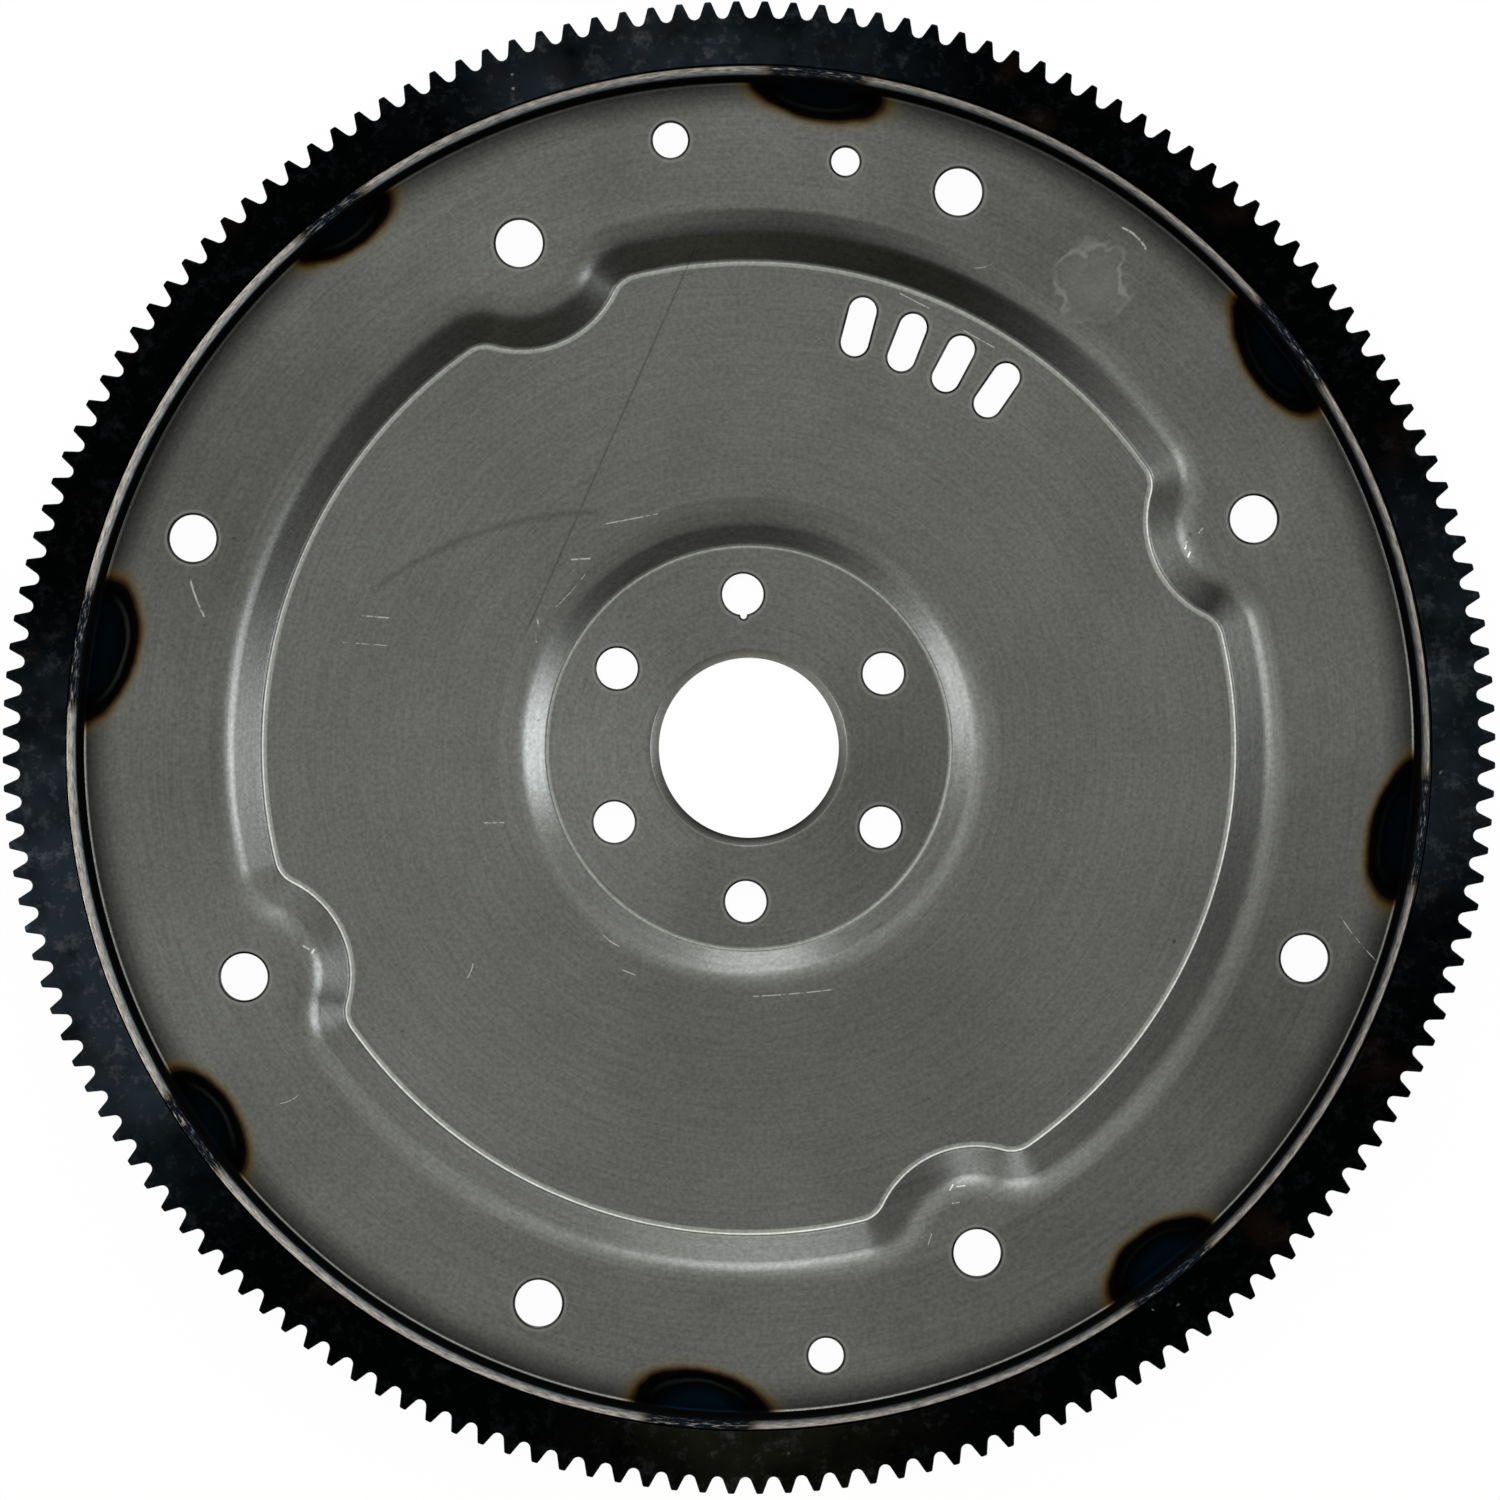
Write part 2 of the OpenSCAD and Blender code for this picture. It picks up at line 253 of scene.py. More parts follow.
def crease_stations():
    """Centre, signed radius and direction along the lobed crease of the rim."""
    blend_x = CREASE_R - LOBE_BLEND
    reach = LOBE_R + LOBE_BLEND
    blend_cos = (blend_x**2 + CONV_A_R**2 - reach**2) / (2 * blend_x * CONV_A_R)
    blend_turn = math.degrees(math.acos(blend_cos))
    lean = polar(blend_x, blend_turn)
    meet = math.degrees(math.atan2(lean.y, CONV_A_R - lean.x))
    stations = []
    for quarter in range(4):
        a = CONV_A_ANGLE + 90 * quarter
        for centre, r, start, end, steps in (
            (polar(blend_x, a - blend_turn), LOBE_BLEND, a - blend_turn, a + meet, BLEND_STEPS),
            (polar(CONV_A_R, a), -LOBE_R, a + meet, a - meet, LOBE_STEPS),
            (polar(blend_x, a + blend_turn), LOBE_BLEND, a - meet, a + blend_turn, BLEND_STEPS),
            (Vector((0, 0)), CREASE_R, a + blend_turn, a + 90 - blend_turn, CREASE_STEPS),
        ):
            stations += [(centre, r, start + (end - start) * i / steps) for i in range(steps)]
    return stations


def round_hole(centre, r):
    """Outline of a round hole, as a function of how far it lies outside the wall."""
    return lambda grow: arc(centre, r + grow, 0, 360, HOLE_STEPS)[:-1]


def notched_hole(centre, r, notch, angle):
    """Outline of a round hole with a small round notch in its wall."""

    def outline(grow):
        big, small = r + grow, notch + grow
        at_big = math.degrees(math.acos((r * r + big * big - small * small) / (2 * r * big)))
        at_small = math.degrees(math.acos((r * r + small * small - big * big) / (2 * r * small)))
        notch_c = Vector(centre) + polar(r, angle)
        wall = arc(centre, big, angle + at_big, angle + 360 - at_big, NOTCHED_STEPS)
        nick = arc(notch_c, small, angle - 180 + at_small, angle + 180 - at_small, NOTCH_STEPS)
        return wall + nick[1:-1]

    return outline


def slot(angle):
    """Outline of a slot with round ends that lies along the radius."""
    half = (SLOT_LEN - SLOT_W) / 2

    def outline(grow):
        r = SLOT_W / 2 + grow
        ends = arc(polar(SLOT_R + half, angle), r, angle - 90, angle + 90, SLOT_END_STEPS)
        return ends + arc(polar(SLOT_R - half, angle), r, angle + 90, angle + 270, SLOT_END_STEPS)

    return outline


def pierce(shell, outline, top, rollover=ROLLOVER):
    """Wall of a hole from the light ring round it, with painted highlight and wear, to its broken lower edge,
    with painted shade on its rolled edge and wall; gives the end loops.
    """
    back = top - SHEET
    upper = [((rollover + BURR) * inset - BURR, top - rollover * drop) for inset, drop in ROUNDING]
    lower = [(BREAK * inset, back + BREAK * drop) for inset, drop in reversed(ROUNDING)]
    loops = [shell.loop(outline(rollover + grow), top, wear=value) for grow, value in HOLE_RING]
    loops += [shell.loop(outline(grow), z, edge=1.0) for grow, z in upper + lower[:-1]]
    loops.append(shell.loop(outline(BREAK), back))
    shell.strip(*loops)
    return loops[0], loops[-1]


def pierce_holes(shell):
    """Holes of hub, web and rim, each by the end loops of its wall."""
    hub, web, round_holes = [], [], []
    for i in range(CRANK_HOLES):
        angle = CRANK_PITCH / 2 + CRANK_PITCH * i
        hole = round_hole(polar(CRANK_R, angle), CRANK_HOLE_R)
        if i == INDEX_HOLE:
            angle += INDEX_OFFSET
            hole = notched_hole(polar(CRANK_R, angle), CRANK_HOLE_R, NOTCH_R, angle + 180)
        hub.append(pierce(shell, hole, HUB_TOP, HUB_ROLLOVER))
    for i in range(SLOT_COUNT):
        angle = SLOT_ANGLE + SLOT_PITCH * (i - (SLOT_COUNT - 1) / 2)
        web.append(pierce(shell, slot(angle), WEB_TOP))
    for i in range(4):
        round_holes.append((polar(CONV_A_R, CONV_A_ANGLE + 90 * i), CONV_HOLE_R))
        round_holes.append((polar(CONV_B_R, CONV_A_ANGLE + CONV_SHIFT + 90 * i), CONV_HOLE_R))
    for i in range(2):
        round_holes.append((polar(TOOLING_R, TOOLING_ANGLE + 180 * i), TOOLING_HOLE_R))
    round_holes.append((polar(CONV_B_R, SMALL_HOLE_ANGLE), SMALL_HOLE_R))
    rim = [pierce(shell, round_hole(centre, r), RIM_TOP) for centre, r in round_holes]
    return hub, web, rim


def pilot_bore(shell):
    """Loops of the pilot bore from the hub's face down its chamfer, with painted highlight and wear on its
    edge, to the back.
    """
    mouth = PILOT_R + PILOT_CHAMFER
    foot = HUB_TOP - PILOT_CHAMFER
    loops = turned(shell, [(mouth + MOUTH_RING, HUB_TOP), (mouth + MOUTH_FLAT, HUB_TOP)])
    loops += turned(shell, [(mouth - MOUTH_CUT, HUB_TOP - MOUTH_CUT)], wear=1.0)
    loops += turned(shell, [(PILOT_R + MOUTH_CUT, foot + MOUTH_CUT), (PILOT_R, foot - MOUTH_FLAT)])
    loops += turned(shell, [(PILOT_R, BREAK), (PILOT_R + BREAK, 0)])
    shell.strip(*loops)
    return loops


def make_plate():
    """Dished plate with its steps, holes and turned-up flange."""
    shell = Shell()
    hub_holes, web_holes, rim_holes = pierce_holes(shell)
    bore = pilot_bore(shell)

    hub_upper, hub_lower = step_faces(HUB_CREASE_R, HUB_TOP, WEB_TOP - HUB_TOP, HUB_SLOPE, HUB_HEAD)
    hub_upper = [(HUB_CREASE_R + s, HUB_TOP) for s in HUB_LEAD] + hub_upper
    upper = turned_line(shell, hub_upper, HUB_PAINTED_LINE)
    lower = turned(shell, hub_lower)
    shell.strip(*upper)
    shell.strip(*lower)
    shell.flat(upper[0], bore[0], *[face for face, _ in hub_holes])
    shell.flat(lower[0], bore[-1], *[back for _, back in hub_holes])

    stations = crease_stations()

    def swept(rows, values):
        return [
            shell.loop([c + polar(r + s, a) for c, r, a in stations], z, crease=value)
            for (s, z), value in marked(rows, values)
        ]

    rim_upper, rim_lower = step_faces(0, WEB_TOP, RIM_TOP - WEB_TOP, RIM_SLOPE, RIM_HEAD)
    rim_upper = [(s, WEB_TOP) for s in RIM_LEAD] + rim_upper
    step_upper = swept(rim_upper, RIM_PAINTED_LINE)
    step_lower = swept(rim_lower, ())
    shell.strip(*step_upper)
    shell.strip(*step_lower)
    shell.flat(step_upper[0], upper[-1], *[face for face, _ in web_holes])
    shell.flat(step_lower[0], lower[-1], *[back for _, back in web_holes])

    fold_c = (FOLD_X, RIM_TOP + FOLD_R)
    edge_c = (FLANGE_IN + FLANGE_EDGE, GEAR_TOP - FLANGE_EDGE)
    corner_c = (FLANGE_R - BREAK, GEAR_TOP - BREAK)
    rows = arc(fold_c, FOLD_R, -90, 0, FOLD_STEPS) + arc(edge_c, FLANGE_EDGE, 180, 90, EDGE_STEPS)
    rows += arc(corner_c, BREAK, 90, 0, CORNER_STEPS)
    rows += arc(fold_c, FOLD_R + SHEET, 0, -90, FOLD_BACK_STEPS)
    flange = turned_line(shell, rows, FOLD_PAINTED_LINE)
    shell.strip(*flange)
    shell.flat(flange[0], step_upper[-1], *[face for face, _ in rim_holes])
    shell.flat(flange[-1], step_lower[-1], *[back for _, back in rim_holes])
    return flat_normals(shell.object("plate_look"))


def tooth_outline():
    """Outline of one tooth from the middle of a root to the next, with a point beyond each end."""
    pitch = 360 / TEETH
    flank_half = TOOTH_TIP / 2 + TOOTH_DEPTH * math.tan(math.radians(FLANK))
    gap = ROOT_R * math.sin(math.radians(pitch / 2)) - flank_half
    lean = FLANK + pitch / 2
    round_r = gap * math.cos(math.radians(lean)) / (1 - math.sin(math.radians(lean)))
    to_root = Matrix.Rotation(math.radians(-pitch / 2), 2)
    root = [to_root @ p for p in arc((ROOT_R + round_r, 0), round_r, 180, 90 + lean, ROOT_STEPS)]
    corner_turn = 90 - FLANK
    inset = TOOTH_ROUND * math.tan(math.radians(corner_turn / 2))
    corner = arc((TIP_R - TOOTH_ROUND, inset - TOOTH_TIP / 2), TOOTH_ROUND, FLANK - 90, 0, TIP_STEPS)
    half = root + corner
    full = half + [Vector((p.x, -p.y)) for p in reversed(half)]
    turn = Matrix.Rotation(math.radians(pitch), 2)
    return [turn.inverted() @ full[-2]] + full + [turn @ full[1]]


def make_tooth():
    """Sector of the ring gear that carries one tooth."""
    outline = tooth_outline()
    rim = outline[1:-1]
    count = len(rim)
    pitch = 360 / TEETH
    normals = []
    for before, after in zip(outline, outline[2:]):
        along = (after - before).normalized()
        normals.append(Vector((along.y, -along.x)))
    spread = [-pitch / 2 + pitch * i / (count - 1) for i in range(count)]

    def round_row(r):
        return [polar(r, a) for a in spread]

    def tooth_row(inset):
        return [p - n * inset for p, n in zip(rim, normals)]

    rows = [
        (round_row(FLANGE_R), RIM_BACK + BREAK, 0.0),
        (round_row(FLANGE_R), GEAR_TOP - GEAR_CHAMFER, 0.0),
        (round_row(FLANGE_R + GEAR_CHAMFER), GEAR_TOP, 0.0),
        (round_row(FLANGE_R + FACE_RING), GEAR_TOP, 0.0),
        (tooth_row(TOOTH_EDGE + TOOTH_RING), GEAR_TOP, 0.0),
    ]
    for inset, drop in ROUNDING:
        rows.append((tooth_row(TOOTH_EDGE * inset), GEAR_TOP - TOOTH_EDGE * drop, FACE_WEAR))
    for inset, drop in reversed(ROUNDING):
        rows.append((tooth_row(TOOTH_EDGE * inset), RIM_BACK + TOOTH_EDGE * drop, BACK_WEAR))
    for r in (FLANGE_R + FACE_RING, FLANGE_R + BREAK):
        rows.append((round_row(r), RIM_BACK, 0.0))
    points = [(p.x * MM, p.y * MM, z * MM) for row, z, _ in rows for p in row]
    faces = []
    for j in range(len(rows)):
        a, b = j * count, (j + 1) % len(rows) * count
        faces += [(a + i, b + i, b + i + 1, a + i + 1) for i in range(count - 1)]
    mesh = bpy.data.meshes.new("tooth")
    mesh.from_pydata(points, [], faces)
    mark_points(mesh, "wear", enumerate(value for row, _, value in rows for _ in row))
    mesh.shade_smooth()
    return add_object("tooth", mesh)


def tree_of(values):
    """Node tree of the first socket among values."""
    return next(value.id_data for value in values if isinstance(value, bpy.types.NodeSocket))


def feed(socket, value):
    """Links or sets one input."""
    if isinstance(value, bpy.types.NodeSocket):
        socket.id_data.links.new(value, socket)
    else:
        socket.default_value = value


def put(tree, kind, inputs=None, **settings):
    """New node with its settings and inputs."""
    made = tree.nodes.new(kind)
    for name, value in settings.items():
        setattr(made, name, value)
    for name, value in (inputs or {}).items():
        feed(made.inputs[name], value)
    return made


def calc(operation, *values, clamp=False):
    """Result of one Math node."""
    inputs = dict(enumerate(values))
    return put(tree_of(values), "ShaderNodeMath", inputs, operation=operation, use_clamp=clamp).outputs[0]


def times(first, *factors):
    """Product of values, with one Math node for each factor."""
    for factor in factors:
        first = calc("MULTIPLY", first, factor)
    return first


def vector_calc(operation, *values):
    """Result of one Vector Math node, which is a number for a length or a dot product."""
    made = put(tree_of(values), "ShaderNodeVectorMath", dict(enumerate(values)), operation=operation)
    return made.outputs["Value" if operation in ("LENGTH", "DOT_PRODUCT") else "Vector"]


def parts(vector):
    """X, Y and Z of a vector."""
    return put(vector.id_data, "ShaderNodeSeparateXYZ", {"Vector": vector}).outputs


def combined(**values):
    """Vector of X, Y and Z."""
    return put(tree_of(values.values()), "ShaderNodeCombineXYZ", values).outputs[0]


def new_group(name, kind, inputs, outputs):
    """Empty node group with its sockets; gives the group, its inputs and its outputs."""
    group = bpy.data.node_groups.new(name, kind)
    for label, socket_kind, value in inputs:
        made = group.interface.new_socket(label, in_out="INPUT", socket_type=socket_kind)
        if value is not None:
            made.default_value = value
    for label, socket_kind in outputs:
        group.interface.new_socket(label, in_out="OUTPUT", socket_type=socket_kind)
    return group, group.nodes.new("NodeGroupInput").outputs, group.nodes.new("NodeGroupOutput").inputs


def shader_group(name, inputs, *outputs):
    """Empty shader node group; an input without a value is a vector, and all else are numbers."""
    sockets = [(label, VECTOR if value is None else FLOAT, value) for label, value in inputs.items()]
    return new_group(name, "ShaderNodeTree", sockets, [(label, FLOAT) for label in outputs])


def use(group, **inputs):
    """Outputs of a shader node group inside another tree."""
    made = put(tree_of(inputs.values()), "ShaderNodeGroup", node_tree=group)
    for name, value in inputs.items():
        feed(made.inputs[name.replace("_", " ")], value)
    return made.outputs


def hand_out(group, geometry, material, result):
    """Gives a group's geometry out, smooth and with its material."""
    smooth = put(group, "GeometryNodeSetShadeSmooth", {"Geometry": geometry})
    done = put(group, "GeometryNodeSetMaterial", {"Geometry": smooth.outputs[0], "Material": material})
    feed(result["Geometry"], done.outputs[0])


def ring_group():
    """Geometry nodes that repeat a tooth sector round the axis."""
    group, given, result = new_group(
        "Toothed ring", "GeometryNodeTree",
        [("Geometry", GEOMETRY, None), ("Tooth", "NodeSocketObject", None), ("Teeth", "NodeSocketInt", 12),
         ("Phase", FLOAT, 0.0), ("Material", MATERIAL, None)],
        [("Geometry", GEOMETRY)])
    points = put(group, "GeometryNodePoints", {"Count": given["Teeth"]})
    index = put(group, "GeometryNodeInputIndex").outputs[0]
    pitch = calc("DIVIDE", math.tau, given["Teeth"])
    angle = calc("MULTIPLY_ADD", index, pitch, calc("RADIANS", given["Phase"]))
    rotation = put(group, "FunctionNodeEulerToRotation", {"Euler": combined(Z=angle)})
    tooth = put(group, "GeometryNodeObjectInfo", {"Object": given["Tooth"]})
    copies = put(group, "GeometryNodeInstanceOnPoints", {
        "Points": points.outputs[0], "Instance": tooth.outputs["Geometry"], "Rotation": rotation.outputs[0]})
    real = put(group, "GeometryNodeRealizeInstances", {"Geometry": copies.outputs[0]})
    merged = put(group, "GeometryNodeMergeByDistance", {"Geometry": real.outputs[0], "Distance": MERGE * MM})
    hand_out(group, merged.outputs[0], given["Material"], result)
    return group


def add_nodes(piece, group, **inputs):
    """Geometry nodes modifier with its named inputs."""
    modifier = piece.modifiers.new(group.name, "NODES")
    modifier.node_group = group
    for item in group.interface.items_tree:
        if item.item_type == "SOCKET" and item.in_out == "INPUT" and item.name in inputs:
            modifier[item.identifier] = inputs[item.name]


def make_ring(material):
    """Ring gear, one tooth repeated all round."""
    tooth = make_tooth()
    ring = add_object("ring_gear_look", bpy.data.meshes.new("ring_gear_look"))
    add_nodes(ring, ring_group(), Tooth=tooth, Teeth=TEETH, Phase=TOOTH_PHASE, Material=material)
    freeze(ring)
    bpy.data.objects.remove(tooth)
    return flat_normals(ring)


def ripple_group():
    """Geometry nodes that press curved ripples into the crown of a weld bead."""
    group, given, result = new_group(
        "Weld ripples", "GeometryNodeTree",
        [("Geometry", GEOMETRY, None), ("Middle", FLOAT, 0.0), ("Pitch", FLOAT, 0.002),
         ("Depth", FLOAT, 0.0002), ("Bow", FLOAT, 100.0), ("Seed", FLOAT, 0.0), ("Material", MATERIAL, None)],
        [("Geometry", GEOMETRY)])
    place = parts(put(group, "GeometryNodeInputPosition").outputs[0])
    angle = calc("ARCTAN2", place["Y"], place["X"])
    angle = calc("SUBTRACT", angle, calc("RADIANS", given["Middle"]))
    angle = calc("WRAP", angle, math.pi, -math.pi)
    square_x = calc("POWER", place["X"], 2.0)
    square_y = calc("POWER", place["Y"], 2.0)
    radius = calc("SQRT", calc("ADD", square_x, square_y))
    along = times(angle, FLANGE_R * MM)
    across = calc("SUBTRACT", radius, (FOLD_X + FLANGE_R + BEAD_TOE) / 2 * MM)
    bow = times(times(across, across), given["Bow"])
    drift = put(group, "ShaderNodeTexNoise", {"Scale": WANDER_SCALE, "W": given["Seed"]},
                noise_dimensions="4D")
    wander = times(calc("SUBTRACT", drift.outputs[0], 0.5), WANDER_REACH)
    phase = calc("DIVIDE", calc("ADD", along, bow), given["Pitch"])
    wave = calc("SINE", calc("ADD", times(phase, math.tau), wander))
    wave = calc("POWER", calc("ABSOLUTE", wave), CREST_POWER)
    crown = put(group, "GeometryNodeInputNamedAttribute", {"Name": "crown"}, data_type="FLOAT").outputs[0]
    lift = times(calc("SUBTRACT", 1.0, wave), given["Depth"], crown)
    moved = put(group, "GeometryNodeSetPosition", {"Geometry": given["Geometry"], "Offset": combined(Z=lift)})
    hand_out(group, moved.outputs[0], given["Material"], result)
    return group


def bead_section(full):
    """Radius, height and crown of the points of a bead's section, by how full the bead is there."""
    centre = FLANGE_R - BEAD_MIDDLE + (1 - full) * BEAD_DRIFT
    width = BEAD_END + (1 - BEAD_END) * full
    low = centre + (FOLD_X + BEAD_GAP - centre) * width
    high = centre + (FLANGE_R + BEAD_TOE - centre) * width
    section = []
    for j in range(BEAD_ACROSS + 1):
        u = -1 + 2 * j / BEAD_ACROSS
        r = low + (high - low) * j / BEAD_ACROSS
        section.append((r, RIM_BACK - BEAD_CROWN * full * (1 - u * u), (1 - u**4) * full))
    for inset, depth in BEAD_ROOT:
        section.append((FLANGE_R - inset, RIM_BACK + BEAD_SEAT + depth * full, 0.0))
    return section


def make_bead(number, ripples, material):
    """One weld bead in the groove between the fold and the ring gear."""
    row, place = divmod(number - 1, BEADS)
    middle = BEAD_ROWS[row] + BEAD_PITCH * (place - (BEADS - 1) / 2)
    half_turn = math.degrees(BEAD_LEN / 2 / FLANGE_R)
    points, crown, faces = [], [], []
    for i in range(BEAD_STEPS + 1):
        t = -1 + 2 * i / BEAD_STEPS
        for r, z, lit in bead_section(math.sqrt(max(0.0, 1 - t**4))):
            p = polar(r, middle + half_turn * t)
            points.append((p.x * MM, p.y * MM, z * MM))
            crown.append(lit)
    n = len(points) // (BEAD_STEPS + 1)
    for i in range(BEAD_STEPS):
        a, b = i * n, (i + 1) * n
        faces += [(a + j, a + (j + 1) % n, b + (j + 1) % n, b + j) for j in range(n)]
    faces += [tuple(range(n)), tuple(BEAD_STEPS * n + j for j in reversed(range(n)))]
    name = f"weld_bead_{number}_look"
    mesh = bpy.data.meshes.new(name)
    mesh.from_pydata(points, [], faces)
    mark_points(mesh, "crown", enumerate(crown))
    face_outward(mesh)
    bead = add_object(name, mesh)
    add_nodes(bead, ripples, Middle=middle, Pitch=RIPPLE_PITCH * MM, Depth=RIPPLE_DEPTH * MM, Bow=RIPPLE_BOW,
              Seed=float(number), Material=material)
    return freeze(bead)


def polar_group():
    """Radius in millimetres, angle in degrees and height in millimetres about the axis."""
    group, given, result = shader_group("Polar place", {"Vector": None}, "Radius", "Angle", "Height")
    part = parts(given["Vector"])
    square = calc("ADD", times(part["X"], part["X"]), times(part["Y"], part["Y"]))
    feed(result["Radius"], calc("DIVIDE", calc("SQRT", square), MM))
    feed(result["Angle"], calc("DEGREES", calc("ARCTAN2", part["Y"], part["X"])))
    feed(result["Height"], calc("DIVIDE", part["Z"], MM))
    return group


def noise(vector, scale, detail=3.0, rough=0.5, distort=0.0, shift=0.0):
    """Value of a noise texture, moved aside so that no two look alike."""
    if shift:
        vector = vector_calc("ADD", vector, (shift, 0.7 * shift, 0.0))
    inputs = {"Vector": vector, "Scale": scale, "Detail": detail, "Roughness": rough, "Distortion": distort}
    return put(vector.id_data, "ShaderNodeTexNoise", inputs).outputs[0]


def span(value, low, high, to_low=0.0, to_high=1.0, smooth=False):
    """Value mapped from one range to another and held inside it."""
    inputs = {"Value": value, "From Min": low, "From Max": high, "To Min": to_low, "To Max": to_high}
    kind = "SMOOTHSTEP" if smooth else "LINEAR"
    return put(value.id_data, "ShaderNodeMapRange", inputs, interpolation_type=kind).outputs[0]


def blend(factor, a, b, mode="MIX"):
    """Colour mixed from two."""
    inputs = {0: factor, 6: a, 7: b}
    return put(tree_of((factor, a, b)), "ShaderNodeMix", inputs, data_type="RGBA", blend_type=mode).outputs[2]


def scaled(colour, value):
    """Colour made darker or lighter by a value."""
    inputs = {0: colour, "Scale": value}
    return put(value.id_data, "ShaderNodeVectorMath", inputs, operation="SCALE").outputs[0]


def turn_from(angle, middle):
    """Angle from a middle, between -180 and 180 degrees."""
    return calc("WRAP", calc("SUBTRACT", angle, middle), 180.0, -180.0)


def sector(where, middle, half, strength):
    """Strength of a soft sector, by its middle angle and half width."""
    turn = turn_from(where["Angle"], middle)
    return span(calc("ABSOLUTE", turn), half, 0.0, 0.0, strength, True)


def ellipse(x, y, half_x, half_y):
    """Distance from the middle of an ellipse, 1 on its outline."""
    across = calc("POWER", calc("DIVIDE", x, half_x), 2.0)
    upward = calc("POWER", calc("DIVIDE", y, half_y), 2.0)
    return calc("SQRT", calc("ADD", across, upward))


def grain_group():
    """Cloudy mottling and fine grain of bare sheet, with faint lines rubbed round the axis."""
    inputs = {"Vector": None, "Cloud Scale": 40.0, "Grain Scale": 900.0, "Line Scale": 1800.0}
    group, given, result = shader_group("Bare sheet", inputs, "Cloud", "Grain")
    cloud = noise(given["Vector"], given["Cloud Scale"], 4.0, 0.65)
    feed(result["Cloud"], span(cloud, 0.3, 0.7))
    even = noise(given["Vector"], given["Grain Scale"], 2.0, 0.6, 0.0, 0.3)
    plan = vector_calc("MULTIPLY", given["Vector"], (1, 1, 0))
    radius = vector_calc("LENGTH", plan)
    bearing = vector_calc("NORMALIZE", plan)
    wound = vector_calc("MULTIPLY_ADD", bearing, (4, 4, 4), combined(Z=times(radius, given["Line Scale"])))
    lines = noise(wound, 1.0, 1.0)
    feed(result["Grain"], calc("MULTIPLY_ADD", lines, 0.3, times(even, 0.7)))
    return group


def speck_group():
    """Small scattered specks in a share of the cells."""
    inputs = {"Vector": None, "Scale": 120.0, "Size": 0.06, "Share": 0.2}
    group, given, result = shader_group("Specks", inputs, "Mask")
    bent = noise(given["Vector"], times(given["Scale"], 6.0), 1.0)
    nudge = calc("DIVIDE", times(bent, 0.12), given["Scale"])
    moved = vector_calc("ADD", given["Vector"], combined(X=nudge, Y=nudge))
    cells = put(group, "ShaderNodeTexVoronoi", {"Vector": moved, "Scale": given["Scale"]}).outputs
    draw = put(group, "ShaderNodeSeparateColor", {"Color": cells["Color"]}).outputs
    near = calc("SUBTRACT", given["Size"], cells["Distance"])
    near = calc("DIVIDE", near, given["Size"])
    near = calc("ADD", near, times(draw[1], 0.4), clamp=True)
    chosen = calc("LESS_THAN", draw[0], given["Share"])
    feed(result["Mask"], times(near, chosen))
    return group


def scratch_group():
    """One thin scratch along a straight or bowed line, from places measured along it and across it."""
    inputs = {"Vector": None, "Along": None, "Along Shift": 0.0, "Across": None, "Across Shift": 0.0,
              "Bow": 0.0}
    group, given, result = shader_group("Scratch", inputs, "Mask")
    along = vector_calc("DOT_PRODUCT", given["Vector"], given["Along"])
    along = calc("SUBTRACT", along, given["Along Shift"])
    across = vector_calc("DOT_PRODUCT", given["Vector"], given["Across"])
    across = calc("SUBTRACT", across, given["Across Shift"])
    square = times(along, along)
    off = calc("ABSOLUTE", calc("MULTIPLY_ADD", square, given["Bow"], across))
    ends = calc("MULTIPLY_ADD", square, -5.0, 5.0)
    feed(result["Mask"], calc("MINIMUM", calc("SUBTRACT", 1.0, off), ends))
    return group


def heat_group():
    """How far a place lies inside the half-round heat mark over one weld bead, in millimetres."""
    inputs = {"Radius": 0.0, "Angle": 0.0, "Middle": 0.0, "Half Length": 16.0, "Depth": 8.0, "Skew": 0.0}
    group, given, result = shader_group("Weld heat", inputs, "Inside")
    turn = turn_from(given["Angle"], given["Middle"])
    depth = calc("MAXIMUM", calc("SUBTRACT", FLANGE_IN, given["Radius"]), 0.0)
    along = calc("MULTIPLY_ADD", turn, math.radians(FLANGE_IN), times(depth, given["Skew"]))
    reach = ellipse(along, depth, given["Half Length"], given["Depth"])
    feed(result["Inside"], times(given["Depth"], calc("SUBTRACT", 1.0, reach)))
    return group


def wear_of(tree, name="wear"):
    """Value of a mesh attribute."""
    return put(tree, "ShaderNodeAttribute", attribute_name=name).outputs["Fac"]


def new_material(name):
    """Empty material; gives it, its tree, object coordinates and its Principled shader."""
    material = bpy.data.materials.new(name)
    material.use_nodes = True
    tree = material.node_tree
    tree.nodes.clear()
    shader = put(tree, "ShaderNodeBsdfPrincipled")
    put(tree, "ShaderNodeOutputMaterial", {"Surface": shader.outputs[0]})
    return material, tree, put(tree, "ShaderNodeTexCoord").outputs["Object"], shader


def coat(shader, colour, metallic, rough, relief, strength):
    """Feeds a shader its colour, metal, roughness and fine relief."""
    inputs = {"Height": relief, "Strength": strength, "Distance": RELIEF_DEPTH * MM}
    normal = put(relief.id_data, "ShaderNodeBump", inputs).outputs[0]
    finish = {"Base Color": colour, "Metallic": metallic, "Roughness": rough, "Normal": normal}
    for name, value in finish.items():
        feed(shader.inputs[name], value)


def colours(factor, stops):
    """Colour and alpha of a ramp of places and colours."""
    made = put(factor.id_data, "ShaderNodeValToRGB", {"Fac": factor})
    ramp = made.color_ramp
    for place, _ in stops[2:]:
        ramp.elements.new(place)
    for element, (place, colour) in zip(ramp.elements, stops):
        element.position = place
        element.color = colour
    return made.outputs["Color"], made.outputs["Alpha"]


GRAIN = grain_group()
SPECK = speck_group()
SCRATCH = scratch_group()
HEAT = heat_group()
POLAR = polar_group()

# Depth of the fine relief of all three metals, in millimetres
RELIEF_DEPTH = 0.2

